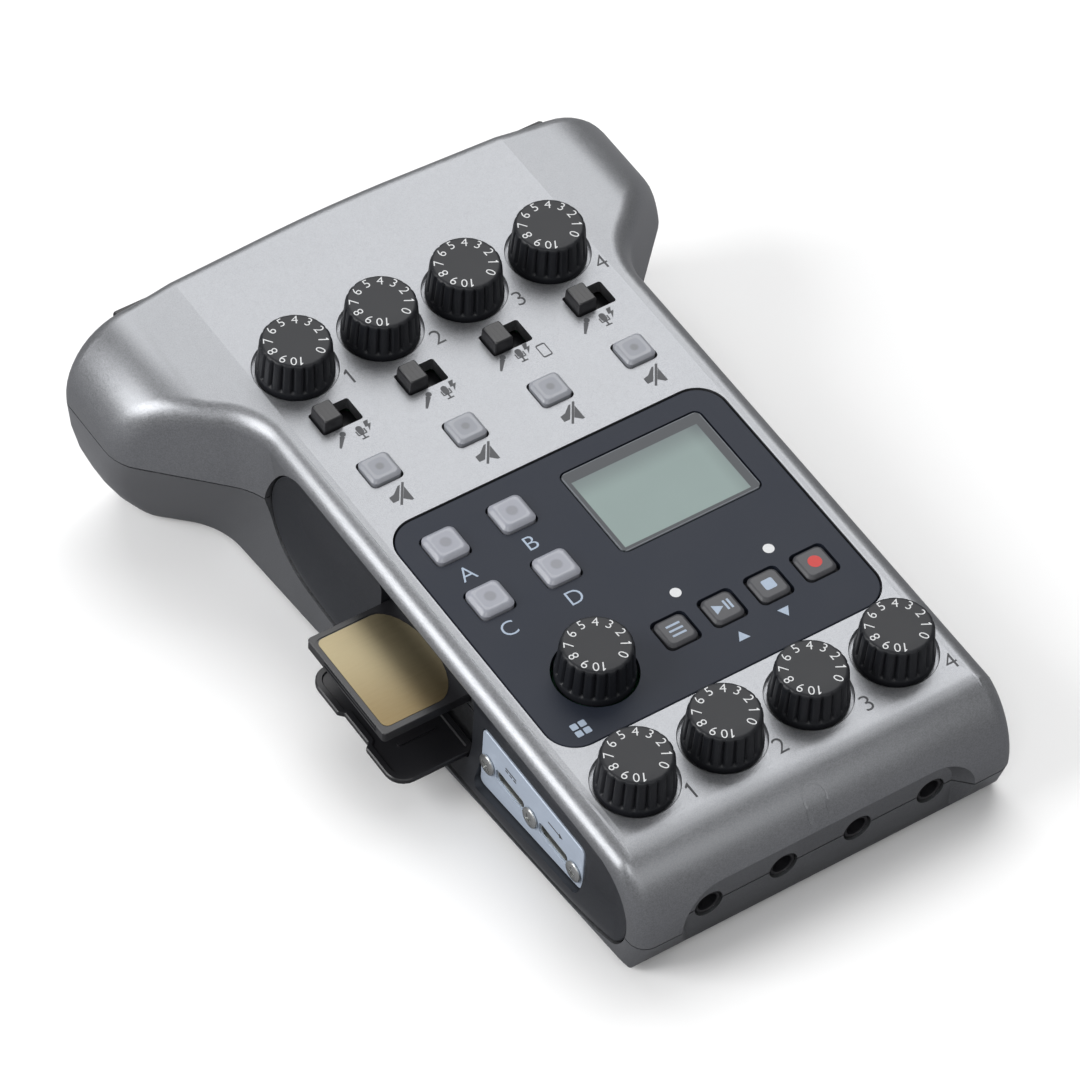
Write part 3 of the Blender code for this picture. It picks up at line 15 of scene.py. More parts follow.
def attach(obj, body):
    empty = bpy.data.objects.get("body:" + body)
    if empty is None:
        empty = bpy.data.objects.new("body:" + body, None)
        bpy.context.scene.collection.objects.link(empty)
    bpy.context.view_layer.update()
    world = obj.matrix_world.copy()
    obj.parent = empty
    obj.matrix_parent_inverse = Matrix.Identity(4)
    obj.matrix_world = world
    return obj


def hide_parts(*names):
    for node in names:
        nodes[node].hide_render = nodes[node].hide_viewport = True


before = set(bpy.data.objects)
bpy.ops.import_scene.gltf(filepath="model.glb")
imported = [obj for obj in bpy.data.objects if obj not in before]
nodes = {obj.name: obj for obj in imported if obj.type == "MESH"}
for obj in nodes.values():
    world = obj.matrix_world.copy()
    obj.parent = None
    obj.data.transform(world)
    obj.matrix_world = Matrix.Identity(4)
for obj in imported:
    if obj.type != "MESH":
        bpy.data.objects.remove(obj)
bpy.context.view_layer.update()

# %% [markdown]
# ## Two frames
#
# The control panel rises by seven degrees towards the rear. Nearly everything is easier to place in the
# panel's own frame: x along a row of knobs, y towards the rear and z out of the panel. An object keeps its
# mesh in that frame, and its matrix turns it into place. The microphone sockets and the feet belong
# to the desk, so they use the desk frame.

# %% Panel frame and desk frame
MM = 0.001
TILT = math.radians(7)
PANEL = Matrix.Translation((0, 45.279 * MM, 38.932 * MM)) @ Matrix.Rotation(TILT, 4, "X")
DESK = Matrix.Identity(4)


def in_desk(y, z):
    """Distance and height over the desk of a point on the panel frame's middle plane."""
    point = PANEL @ Vector((0, y, z))
    return point.y, point.z


print("panel frame starts at", [round(v, 4) for v in PANEL.translation])

# %% [markdown]
# ## Shader maths that reads like maths
#
# A procedural material is a formula, so it helps to write it as one. `Value` wraps a socket, and each
# operator adds the Math node that it stands for. The reflected forms let `1 - mask` work too. `Finish` holds
# one material: a Principled shader, one method that adds any other node, and colours that go through
# Mix nodes, because a Math node would turn them grey.


# %% Value and Finish
class Value:
    """A number on a socket, with Python's operators."""

    def __init__(self, finish, socket):
        self.finish, self.socket = finish, socket

    def math(self, operation, *others, flip=False):
        inputs = [self, *others]
        if flip:
            inputs.reverse()
        node = self.finish.add("ShaderNodeMath", {"operation": operation}, dict(enumerate(inputs)))
        return Value(self.finish, node.outputs[0])

    def __add__(self, other):
        return self.math("ADD", other)

    __radd__ = __add__

    def __sub__(self, other):
        return self.math("SUBTRACT", other)

    def __rsub__(self, other):
        return self.math("SUBTRACT", other, flip=True)

    def __mul__(self, other):
        return self.math("MULTIPLY", other)

    __rmul__ = __mul__

    def __truediv__(self, other):
        return self.math("DIVIDE", other)

    def __gt__(self, other):
        return self.math("GREATER_THAN", other)

    def __lt__(self, other):
        return self.math("LESS_THAN", other)

    def __abs__(self):
        return self.math("ABSOLUTE")

    def fade(self, low, high):
        """0 below low, 1 above high, and smooth between them."""
        settings = {"interpolation_type": "SMOOTHSTEP"}
        node = self.finish.add("ShaderNodeMapRange", settings, {"Value": self, "From Min": low, "From Max": high})
        return Value(self.finish, node.outputs[0])


class Finish:
    """One material with a Principled shader."""

    def __init__(self, name, color, roughness, **constants):
        self.material = bpy.data.materials.new(name)
        self.material.use_nodes = True
        self.tree = self.material.node_tree
        self.shader = self.tree.nodes["Principled BSDF"]
        self.material.diffuse_color = (*color, 1)
        self.set("Base Color", (*color, 1))
        self.set("Roughness", roughness)
        for socket, number in constants.items():
            self.set(socket.replace("_", " ").title().replace("Ior", "IOR"), number)

    def set(self, socket, number):
        self.shader.inputs[socket].default_value = number

    def add(self, kind, settings=None, inputs=None, stops=None):
        """Any node: its settings, the stops of its ramp, and the values or links of its sockets."""
        node = self.tree.nodes.new(kind)
        for key, setting in (settings or {}).items():
            setattr(node, key, setting)
        for index, (place, color) in enumerate(stops or ()):
            ramp = node.color_ramp.elements
            stop = ramp[index] if index < 2 else ramp.new(place)
            stop.position, stop.color = place, (*color, 1)
        for key, given in (inputs or {}).items():
            if isinstance(given, Value):
                self.tree.links.new(given.socket, node.inputs[key])
            else:
                node.inputs[key].default_value = given
        return node

    def feed(self, socket, value):
        self.tree.links.new(value.socket, self.shader.inputs[socket])
        return self

    def place(self):
        """x, y and z of the point in the piece's own frame."""
        coordinates = self.add("ShaderNodeTexCoord")
        parts = self.add("ShaderNodeSeparateXYZ", inputs={0: Value(self, coordinates.outputs["Object"])})
        return [Value(self, output) for output in parts.outputs]

    def spot(self):
        return Value(self, self.add("ShaderNodeTexCoord").outputs["Object"])

    def noise(self, size, detail=2, stretch=(1, 1, 1)):
        """Noise from 0 to 1 with patches of a size."""
        scale = tuple(s / size for s in stretch)
        mapped = self.add("ShaderNodeMapping", inputs={"Vector": self.spot(), "Scale": scale})
        inputs = {"Vector": Value(self, mapped.outputs[0]), "Scale": 1, "Detail": detail}
        return Value(self, self.add("ShaderNodeTexNoise", inputs=inputs).outputs[0])

    def flakes(self, size):
        """A random number from 0 to 1 for each flake."""
        inputs = {"Vector": self.spot(), "Scale": 1 / size}
        cells = self.add("ShaderNodeTexVoronoi", inputs=inputs)
        parts = self.add("ShaderNodeSeparateColor", inputs={0: Value(self, cells.outputs["Color"])})
        return Value(self, parts.outputs[0])

    def mix(self, share, first, second):
        """Colour between two colours, each a triple or a Value."""
        colors = [c if isinstance(c, Value) else (*c, 1) for c in (first, second)]
        node = self.add("ShaderNodeMix", {"data_type": "RGBA"}, {0: share, 6: colors[0], 7: colors[1]})
        return Value(self, node.outputs[2])

    def bump(self, height, distance, strength=1.0):
        inputs = {"Height": height, "Distance": distance, "Strength": strength}
        return self.feed("Normal", Value(self, self.add("ShaderNodeBump", inputs=inputs).outputs[0]))


print("shader helpers ready")

# %% [markdown]
# ## The finishes
#
# The housing is moulded plastic under a silver paint. Such a paint is a clear coat full of aluminium flakes, so
# it is partly metallic, satin, and speckled at about a fifth of a millimetre. The dark parts are moulded
# plastic with a spark-eroded grain: no colour of their own, but a soft bump that breaks up the light.


# %% Paint and moulded plastics
def grained(finish, color, size, depth, spread=0.25, roughness=0.45):
    """Moulded grain: small bumps, with colour and gloss that drift a little."""
    drift = finish.noise(40 * size, 3)
    fine = finish.noise(size, 2)
    lighter = tuple(c * (1 + spread) for c in color)
    darker = tuple(c * (1 - spread) for c in color)
    finish.feed("Base Color", finish.mix(drift * 0.7 + fine * 0.3, darker, lighter))
    finish.feed("Roughness", fine * 0.12 + drift * 0.1 + (roughness - 0.11))
    finish.bump(fine, depth)
    return finish.material


def silver_paint(name, shade):
    finish = Finish(name, (shade, shade, shade), 0.4, metallic=0.85, coat_weight=0.15, coat_roughness=0.25)
    flakes = finish.flakes(0.16 * MM)
    cloud = finish.noise(9 * MM, 3)
    speck = flakes * 0.65 + cloud * 0.35
    low, high = shade * 0.80, shade * 1.16
    finish.feed("Base Color", finish.mix(speck, (low, low * 1.025, low * 1.08), (high, high * 1.025, high * 1.08)))
    finish.feed("Roughness", flakes * 0.14 + cloud * 0.06 + 0.27)
    finish.bump(flakes * 0.6 + finish.noise(0.3 * MM) * 0.4, 0.012 * MM)
    return finish.material


silver = silver_paint("silver_paint", 0.27)
panel_black = grained(Finish("side_panel_plastic", (0.02, 0.022, 0.027), 0.4), (0.020, 0.022, 0.027), 0.35 * MM, 0.012 * MM)
fascia_slate = grained(Finish("fascia_slate", (0.03, 0.034, 0.045), 0.45, specular_ior_level=0.22), (0.016, 0.020, 0.031), 0.25 * MM, 0.006 * MM, 0.12, 0.5)
black = grained(Finish("black_plastic", (0.012, 0.012, 0.014), 0.35), (0.013, 0.013, 0.015), 0.3 * MM, 0.008 * MM, 0.3, 0.34)
soft_black = grained(Finish("knob_black", (0.02, 0.021, 0.024), 0.45, specular_ior_level=0.3), (0.012, 0.013, 0.016), 0.22 * MM, 0.01 * MM, 0.2, 0.42)
key_grey = grained(Finish("key_grey", (0.05, 0.05, 0.055), 0.5), (0.045, 0.046, 0.052), 0.25 * MM, 0.01 * MM, 0.2, 0.45)
rubber = grained(Finish("rubber_feet", (0.02, 0.02, 0.02), 0.8), (0.020, 0.020, 0.020), 0.4 * MM, 0.03 * MM, 0.3, 0.78)
print("paint and plastics:", len(bpy.data.materials))


# %% Metals, prints, board and display
def brushed(name, color, roughness, stretch, metallic=0.95):
    """Metal with fine drawn lines along the axis that is stretched."""
    finish = Finish(name, color, roughness, metallic=metallic)
    lines = finish.noise(0.12 * MM, 2, stretch)
    cloud = finish.noise(4 * MM, 3)
    finish.feed("Base Color", finish.mix(lines * 0.5 + cloud * 0.5, tuple(c * 0.82 for c in color), tuple(min(c * 1.12, 1) for c in color)))
    finish.feed("Roughness", lines * 0.16 + (roughness - 0.08))
    finish.bump(lines, 0.004 * MM)
    return finish.material


def printed(name, color):
    """Screen-printed ink: flat and matt, with a slightly uneven film."""
    finish = Finish(name, color, 0.55)
    film = finish.noise(0.25 * MM, 3)
    finish.feed("Base Color", finish.mix(film, tuple(c * 0.86 for c in color), tuple(min(c * 1.08, 1) for c in color)))
    finish.feed("Roughness", film * 0.15 + 0.48)
    finish.bump(film, 0.004 * MM)
    return finish.material


plate_metal = brushed("plate_metal", (0.56, 0.64, 0.76), 0.4, (1, 0.12, 1), 0.25)
steel = brushed("plated_steel", (0.62, 0.63, 0.62), 0.3, (1, 1, 1))
contact_gold = brushed("contact_gold", (0.72, 0.52, 0.2), 0.3, (1, 0.2, 1))
print_dark = printed("print_dark", (0.055, 0.057, 0.063))
print_white = printed("print_white", (0.62, 0.63, 0.64))
print_blue = printed("print_blue_grey", (0.33, 0.40, 0.50))
print_red = printed("print_red", (0.50, 0.035, 0.03))
board = grained(Finish("board_green", (0.02, 0.12, 0.05), 0.4), (0.015, 0.10, 0.045), 1.2 * MM, 0.02 * MM)
print("materials:", len(bpy.data.materials))

# %% [markdown]
# ## Outlines and solids
#
# Most pieces here are outlines pushed along an axis, or a stack of outlines with a skin between them.
# A stack gives control over each edge: two rings close together make a fine bevel. The helpers below build such
# solids in bmesh. `piece` turns one into an object in the panel or desk frame, and `worn_by` says which CAD
# body it rides on and which CAD nodes it stands for.


# %% Outline helpers
def arc(centre, radii, start, end, steps):
    angles = [math.radians(start + (end - start) * k / steps) for k in range(steps + 1)]
    return [(centre[0] + radii[0] * math.cos(a), centre[1] + radii[1] * math.sin(a)) for a in angles]


def circle(radius, count, centre=(0, 0)):
    return arc(centre, (radius, radius), 0, 360, count)[:-1]


def rounded_rectangle(width, depth, radius, centre=(0, 0), steps=6):
    across, along = width / 2 - radius, depth / 2 - radius
    outline = []
    for turn, (side, end) in enumerate(((1, 1), (-1, 1), (-1, -1), (1, -1))):
        corner = (centre[0] + side * across, centre[1] + end * along)
        outline += arc(corner, (radius, radius), 90 * turn, 90 * turn + 90, steps)
    return outline


def filleted(corners, steps=8):
    """Closed outline from (u, v, radius) corners."""
    outline = []
    for index, (u, v, radius) in enumerate(corners):
        if radius == 0:
            outline.append((u, v))
            continue
        corner = Vector((u, v))
        back = (Vector(corners[index - 1][:2]) - corner).normalized()
        ahead = (Vector(corners[(index + 1) % len(corners)][:2]) - corner).normalized()
        half = back.angle(ahead) / 2
        centre = corner + (back + ahead).normalized() * (radius / math.sin(half))
        first = corner + back * (radius / math.tan(half)) - centre
        turn = (math.pi - 2 * half) * (-1 if back.cross(ahead) > 0 else 1)
        for k in range(steps + 1):
            outline.append(tuple(centre + Matrix.Rotation(turn * k / steps, 2) @ first))
    return outline


def softened(outline, rounds):
    """Cuts the corners of a closed outline again and again, until it is a smooth curve."""
    for _ in range(rounds):
        finer = []
        for k, point in enumerate(outline):
            ahead = outline[(k + 1) % len(outline)]
            finer.append((point[0] * 0.75 + ahead[0] * 0.25, point[1] * 0.75 + ahead[1] * 0.25))
            finer.append((point[0] * 0.25 + ahead[0] * 0.75, point[1] * 0.25 + ahead[1] * 0.75))
        outline = finer
    return outline


def grown(outline, amount):
    """The outline moved to its right-hand side by an amount, negative for its left."""
    moved = []
    for k, point in enumerate(outline):
        back = Vector(point) - Vector(outline[k - 1])
        ahead = Vector(outline[(k + 1) % len(outline)]) - Vector(point)
        along = (back.normalized() + ahead.normalized()).normalized()
        moved.append((point[0] + along.y * amount, point[1] - along.x * amount))
    return moved


print("outline of a circle:", len(circle(1, 24)), "points")


# %% Solids, pieces and cuts
def spread(u, v, w, axis):
    return {"X": (w, u, v), "Y": (u, w, v), "Z": (u, v, w)}[axis]


def add_stack(shape, sections, axis="Z", centre=(0, 0)):
    """Skins a stack of (outline, distance) sections and closes both ends."""
    loops = []
    for outline, w in sections:
        loops.append([shape.verts.new(spread(centre[0] + u, centre[1] + v, w, axis)) for u, v in outline])
    shape.faces.new(loops[0])
    shape.faces.new(loops[-1])
    for lower, upper in zip(loops, loops[1:]):
        for k in range(len(lower)):
            n = (k + 1) % len(lower)
            shape.faces.new((lower[k], lower[n], upper[n], upper[k]))
    return shape


def stack(sections, axis="Z", centre=(0, 0)):
    return add_stack(bmesh.new(), sections, axis, centre)


def add_prism(shape, outline, low, high, axis="Z"):
    return add_stack(shape, [(outline, low), (outline, high)], axis)


def prism(outline, low, high, axis="Z"):
    return add_prism(bmesh.new(), outline, low, high, axis)


def bare(name, shape, matrix):
    bmesh.ops.recalc_face_normals(shape, faces=shape.faces[:])
    mesh = bpy.data.meshes.new(name)
    shape.to_mesh(mesh)
    shape.free()
    item = bpy.data.objects.new(name, mesh)
    bpy.context.scene.collection.objects.link(item)
    item.matrix_world = matrix
    return item


def shaded(item, crease=30):
    """Smooth shading that keeps the flat faces flat and the sharp edges sharp."""
    item.data.shade_smooth()
    item.data.set_sharp_from_angle(angle=math.radians(crease))
    even = item.modifiers.new("even_shading", "WEIGHTED_NORMAL")
    even.keep_sharp = True
    return item


def piece(name, shape, finish, at=(0, 0, 0), level=False, crease=30):
    item = bare(name, shape, (DESK if level else PANEL) @ Matrix.Translation(at))
    item.data.materials.append(finish)
    return shaded(item, crease)


def twin(name, original, at, level=False):
    """Another object with the same mesh."""
    item = bpy.data.objects.new(name, original.data)
    bpy.context.scene.collection.objects.link(item)
    item.matrix_world = (DESK if level else PANEL) @ Matrix.Translation(at)
    even = item.modifiers.new("even_shading", "WEIGHTED_NORMAL")
    even.keep_sharp = True
    return item


def carve(item, *cuts):
    """Boolean steps, each an (operation, shape, matrix) triple, applied in order."""
    for step in list(item.modifiers):
        item.modifiers.remove(step)
    tools = []
    for operation, shape, matrix in cuts:
        tool = bare("tool", shape, matrix)
        step = item.modifiers.new("cut", "BOOLEAN")
        step.operation, step.solver, step.object = operation, "EXACT", tool
        tools.append(tool)
    bpy.context.view_layer.update()
    mesh = bpy.data.meshes.new_from_object(item.evaluated_get(bpy.context.evaluated_depsgraph_get()))
    item.modifiers.clear()
    item.data = mesh
    for tool in tools:
        bpy.data.objects.remove(tool, do_unlink=True)
    return item


def worn_by(item, body, slot, *replaced):
    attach(item, body)
    if replaced:
        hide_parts(*replaced)
    return item


print("solid helpers ready")

# %% [markdown]
# ## The housing
#
# The real housing is two mouldings that meet at a parting line. Its form is a T in plan, a flat panel with
# rolled ears in the cross section, and a wedge with a round nose from the side. Three extruded outlines and
# two intersections give exactly that, and one wide bevel rounds the edges between them. It is
# the CAD model's own construction with finer arcs, so the two agree.

# %% Housing sizes
BODY_HALF_WIDTH = 37.8 * MM
HEAD_HALF_WIDTH = 56.5 * MM
REAR_REACH = 30.6 * MM
REAR_SIDE_SETBACK = 1.4 * MM
REAR_BULGE_HALF_WIDTH = 44 * MM
NECK_OFFSET = 43.3 * MM
NECK_SPREAD = 4.7 * MM
NECK_LOWER_DRAW = 18 * MM
NECK_RADIUS = 14 * MM
EAR_CREASE = 33.5 * MM
EAR_ROLL_WIDTH = 14.2 * MM
EAR_DROP = 1.2 * MM
UNDERCUT_RADIUS = 40 * MM
UNDERCUT_ANGLE = 48
PARTING = 15.5 * MM
NOSE_START = 112.6 * MM
NOSE_LENGTH = 12 * MM
FRONT_HEIGHT = 23.2 * MM
FRONT_SETBACK = 2.3 * MM
LOWEST = PARTING + UNDERCUT_RADIUS * math.sin(math.radians(UNDERCUT_ANGLE))
EDGE_RADIUS = 3.2 * MM
FOOT_HEIGHT = 1 * MM
WALL = 2.6 * MM
GAP = 0.3 * MM
BEYOND = 4 * MM


def rear_edge(x):
    """y of the panel's rear edge: a very shallow wave."""
    share = min(abs(x) / REAR_BULGE_HALF_WIDTH, 1)
    return REAR_REACH - REAR_SIDE_SETBACK * (1 - math.cos(math.pi * share)) / 2


def plan_outline(z, side, wall, steps):
    """T-shaped plan at a height. The ears lean back below the parting line."""
    above = z > -PARTING
    span = PARTING if above else LOWEST - PARTING
    depth = -z if above else -z - PARTING
    slope = NECK_SPREAD if above else -NECK_LOWER_DRAW
    neck = NECK_OFFSET + (0 if above else NECK_SPREAD) + slope * depth / span - wall * math.sqrt(2)
    wide = HEAD_HALF_WIDTH + BEYOND
    lean = z * math.tan(TILT)
    rear = [(REAR_BULGE_HALF_WIDTH * k / steps, rear_edge(REAR_BULGE_HALF_WIDTH * k / steps) + lean - wall)
            for k in range(steps + 1)]
    rear.append((wide, rear_edge(wide) + lean - wall))
    front = -(NOSE_START + NOSE_LENGTH + BEYOND)
    corners = [(side, front, 0), (wide, wide - neck, 0), (side, side - neck, NECK_RADIUS), (side, front, 0)]
    half = rear + filleted(corners, steps)[1:]
    return half + [(-x, y) for x, y in reversed(half) if x > 0]


def cross_outline(wall, steps):
    """Flat in the middle, rolled round the ears and drawn in below them."""
    roll = HEAD_HALF_WIDTH - EAR_ROLL_WIDTH
    radii = (EAR_ROLL_WIDTH - wall, PARTING - EAR_DROP - wall)
    right = [(EAR_CREASE, -wall)] + list(reversed(arc((roll, -PARTING), radii, 0, 90, steps)))
    bend = (UNDERCUT_RADIUS - wall, UNDERCUT_RADIUS)
    right += arc((HEAD_HALF_WIDTH - UNDERCUT_RADIUS, -PARTING), bend, 0, -UNDERCUT_ANGLE, steps // 2)[1:]
    return right + [(-x, z) for x, z in reversed(right)]


def side_outline(wall, nose_length, setback, steps):
    """Flat panel, round nose, and a front that leans back below the parting line."""
    rear = REAR_REACH + BEYOND
    nose = arc((-NOSE_START, -PARTING), (nose_length, PARTING - wall), 90, 180, steps)
    share = (LOWEST + BEYOND - PARTING) / (FRONT_HEIGHT - PARTING)
    low = -LOWEST - BEYOND
    return [(rear, -wall)] + nose + [(-(NOSE_START + nose_length - setback * share), low), (rear, low)]


print("housing: %.1f mm wide at the ears" % (2000 * HEAD_HALF_WIDTH))


# %% Housing form
REACH = NOSE_START + NOSE_LENGTH + REAR_REACH


def slab(low, high):
    return prism([(-REACH, -REACH), (REACH, -REACH), (REACH, REACH), (-REACH, REACH)], low, high)


def housing_form(name, side, wall, nose_length, setback, steps):
    levels = (BEYOND, -PARTING, -LOWEST - BEYOND)
    form = bare(name, stack([(plan_outline(z, side, wall, steps), z) for z in levels]), PANEL)
    return carve(form, ("INTERSECT", prism(cross_outline(wall, steps), -REACH, REACH, "Y"), PANEL),
                 ("INTERSECT", prism(side_outline(wall, nose_length, setback, steps), -REACH, REACH, "X"), PANEL))


def round_edges(form, segments):
    """Rounds the sharp edges above the form's bottom."""
    shape = bmesh.new()
    shape.from_mesh(form.data)
    bmesh.ops.remove_doubles(shape, verts=shape.verts[:], dist=0.03 * MM)
    bmesh.ops.dissolve_limit(shape, angle_limit=math.radians(0.6), verts=shape.verts[:], edges=shape.edges[:])
    for vert in shape.verts:  # the end of the ear crease on the nose stays clear of the rounding
        x, y, z = vert.co
        if y < -NOSE_START - 0.1 * MM and -1.5 * MM < z < -0.02 * MM and 33.6 * MM < abs(x) < 37.7 * MM:
            vert.co.x = math.copysign(min(abs(x), 34.3 * MM), x)
    edges = [e for e in shape.edges if len(e.link_faces) == 2 and e.calc_face_angle() > math.radians(33)
             and any(v.co.z > -LOWEST + GAP for v in e.verts)
             and not all(abs(v.co.z + PARTING) < GAP for v in e.verts)]
    bmesh.ops.bevel(shape, geom=edges, offset=EDGE_RADIUS, offset_type="OFFSET", segments=segments, profile=0.5,
                    affect="EDGES", clamp_overlap=False, miter_outer="ARC")
    bmesh.ops.remove_doubles(shape, verts=shape.verts[:], dist=0.03 * MM)
    bmesh.ops.triangulate(shape, faces=shape.faces[:])
    shape.to_mesh(form.data)
    shape.free()
    return form


def lower_edge_section(place, side):
    """Triangle outside a lower edge. side is the way out of the housing."""
    inward, rise = 0.9 * MM, 1.3 * MM
    high = FOOT_HEIGHT + rise / inward * (inward + BEYOND)
    return [(place - side * inward, FOOT_HEIGHT), (place - side * inward, FOOT_HEIGHT - BEYOND),
            (place + side * BEYOND, FOOT_HEIGHT - BEYOND), (place + side * BEYOND, high)]


def break_lower_edges(form):
    front = in_desk(-(NOSE_START + NOSE_LENGTH - FRONT_SETBACK), -FRONT_HEIGHT)[0]
    cuts = []
    for side in (-1, 1):
        full = lower_edge_section(side * BODY_HALF_WIDTH, side)
        faded = lower_edge_section(side * (BODY_HALF_WIDTH + 1.8 * MM), side)
        run = [(full, front - BEYOND), (full, 8 * MM), (faded, 8 * MM + REAR_REACH)]
        cuts.append(("DIFFERENCE", stack(run, "Y"), DESK))
    across = BODY_HALF_WIDTH + BEYOND
    cuts.append(("DIFFERENCE", prism(lower_edge_section(front, -1), -across, across, "X"), DESK))
    return carve(form, *cuts)


FINE = 12
blank = round_edges(housing_form("blank", BODY_HALF_WIDTH, 0, NOSE_LENGTH, FRONT_SETBACK, FINE), 5)
carve(blank, ("INTERSECT", slab(FOOT_HEIGHT, 2 * LOWEST), DESK))
break_lower_edges(blank)
SCOOP_INSET = 2.8 * MM
hollow = housing_form("hollow", 31 * MM, WALL, NOSE_LENGTH - SCOOP_INSET - 2.4 * MM, 0, 6)
carve(hollow, ("INTERSECT", slab(FOOT_HEIGHT + 2 * MM, 2 * LOWEST), DESK))
print("blank:", len(blank.data.polygons), "faces; hollow:", len(hollow.data.polygons))

# %% [markdown]
# ## Recesses
#
# Every recess is a cut: the two leaf-shaped pockets of the side panels, the wells under the knobs,
# the slots of the slide switches, the windows of the mute keys, the opening of the dark fascia, the scoop
# for the headphone plugs and the round holes of the microphone sockets. Cuts that touch each other go in
# separate steps, because one tool mesh shouldn't run through itself.

# %% Places of the controls
KNOB_XS = [(k - 1.5) * 17.2 * MM for k in range(4)]
PHONES_ROW = -104.1 * MM
SOUND_KNOB = (-18.7 * MM, -81.7 * MM)
SWITCH_ROW = -12.9 * MM
MUTE_ROW = -26.8 * MM
PADS = [(x * MM, y * MM) for x, y in ((-25.3, -46.5), (-12.1, -46.5), (-25.3, -60.1), (-12.1, -60.1))]
TRANSPORT = [((-2.5 + 9.34 * k) * MM, -81.5 * MM) for k in range(4)]
JACK_XS = [(k - 1.5) * 14.8 * MM for k in range(4)]
SOCKET_XS = [(k - 1.5) * 27 * MM for k in range(4)]
SOCKET_HEIGHT = 21.8 * MM
FASCIA = (65.8 * MM, 55.2 * MM, 5.5 * MM, (0, -66.3 * MM))
FRONT_WALL = -(NOSE_START + NOSE_LENGTH - SCOOP_INSET)

LEAF_POINTS = [(-9.6, -15.2), (-16.0, -3.2), (-25.5, -2.9)]
LEAF_POINTS += arc((-110.8, -13.2), (10.1, 10.1), 90, 235, 6)
LEAF_POINTS += [(-98.5, -25.3), (-70.0, -27.8), (-29.5, -28.6), (-15.6, -26.2)]
LEAF = softened([(y * MM, z * MM) for y, z in LEAF_POINTS], 4)


def scoop_outline(grow):
    half, top = 26.5 * MM + grow, -9.6 * MM + grow
    corner = 5.2 * MM + grow
    return filleted([(half, -LOWEST, 0), (half, top, corner), (-half, top, corner), (-half, -LOWEST, 0)], 12)


print("leaf outline:", len(LEAF), "points")


# %% Cutting tools
def leaf_pockets():
    shape = bmesh.new()
    for side in (-1, 1):
        add_prism(shape, LEAF, side * 33.2 * MM, side * (BODY_HALF_WIDTH + BEYOND), "X")
    return shape


def scoop():
    """Its edge has a small lip where it meets the nose."""
    flare = SCOOP_INSET + BEYOND / 2
    return stack([(scoop_outline(0), FRONT_WALL), (scoop_outline(flare), FRONT_WALL - flare)], "Y")


def jack_holes():
    shape = bmesh.new()
    for x in JACK_XS:
        add_prism(shape, circle(2.75 * MM, 40, (x, -PARTING)), FRONT_WALL - 1 * MM, FRONT_WALL + 3.4 * MM, "Y")
    return shape


def knob_wells():
    shape = bmesh.new()
    for x, y in [(x, row) for row in (0, PHONES_ROW) for x in KNOB_XS]:
        sections = [(circle(7.5 * MM, 72, (x, y)), -1 * MM), (circle(7.5 * MM, 72, (x, y)), -0.12 * MM),
                    (circle(7.62 * MM, 72, (x, y)), 0), (circle(7.62 * MM, 72, (x, y)), BEYOND)]
        add_stack(shape, sections)
    return shape


def panel_windows():
    shape = bmesh.new()
    for x in KNOB_XS:
        add_prism(shape, rounded_rectangle(8 * MM, 5.3 * MM, 0.5 * MM, (x, SWITCH_ROW)), -WALL - 1 * MM, BEYOND)
        add_prism(shape, rounded_rectangle(6.4 * MM, 6.4 * MM, 1 * MM, (x, MUTE_ROW)), -WALL - 1 * MM, BEYOND)
    width, depth, corner, centre = FASCIA
    add_prism(shape, rounded_rectangle(width + 0.6 * MM, depth + 0.6 * MM, corner + GAP, centre, 12),
              -WALL - 1 * MM, BEYOND)
    return shape


def socket_face(x):
    return in_desk(rear_edge(abs(x) + 11.5 * MM), 0)[0] - 0.4 * MM


def socket_holes():
    shape = bmesh.new()
    for x in SOCKET_XS:
        face = socket_face(x)
        add_prism(shape, circle(11.8 * MM, 72, (x, SOCKET_HEIGHT)), face - 9.2 * MM, face + 8 * MM, "Y")
    return shape


def latch_slots():
    shape = bmesh.new()
    for x in SOCKET_XS:
        outline = rounded_rectangle(8.1 * MM, 3.6 * MM, 0.5 * MM, (x, SOCKET_HEIGHT + 15.6 * MM))
        add_prism(shape, outline, socket_face(x) - 9.2 * MM, socket_face(x) + 8 * MM, "Y")
    return shape


def card_slot():
    outline = rounded_rectangle(24.6 * MM, 2.7 * MM, 0.3 * MM, (-55.2 * MM, -13.05 * MM), 1)
    return prism(outline, -(BODY_HALF_WIDTH + BEYOND), -30 * MM, "X")


def port_holes(outer, inner, grow):
    shape = bmesh.new()
    for y in (-83.275 * MM, -96.225 * MM):
        outline = rounded_rectangle(8.6 * MM + 2 * grow, 2.8 * MM + 2 * grow, 0.93 * MM + grow, (y, -19 * MM))
        add_prism(shape, outline, -outer, -inner, "X")
    return shape

def bay_outline(shrink):
    return rounded_rectangle(54.5 * MM - 2 * shrink, 33 * MM - 2 * shrink, 0.8 * MM, (0, 29.786 * MM), 4)


def base_openings():
    shape = prism(bay_outline(0), 0, 4 * MM)
    for x, y in FEET:
        add_prism(shape, circle(4.8 * MM, 32, (x, y)), 0, 1.6 * MM)
    return shape


FEET = [(side * x * MM, y * MM) for x, y in ((27.5, -50.81), (34, 63.03)) for side in (1, -1)]
print("feet at", [(round(x, 4), round(y, 4)) for x, y in FEET])


# %% The two shells
def copy_of(form):
    shape = bmesh.new()
    shape.from_mesh(form.data)
    return shape


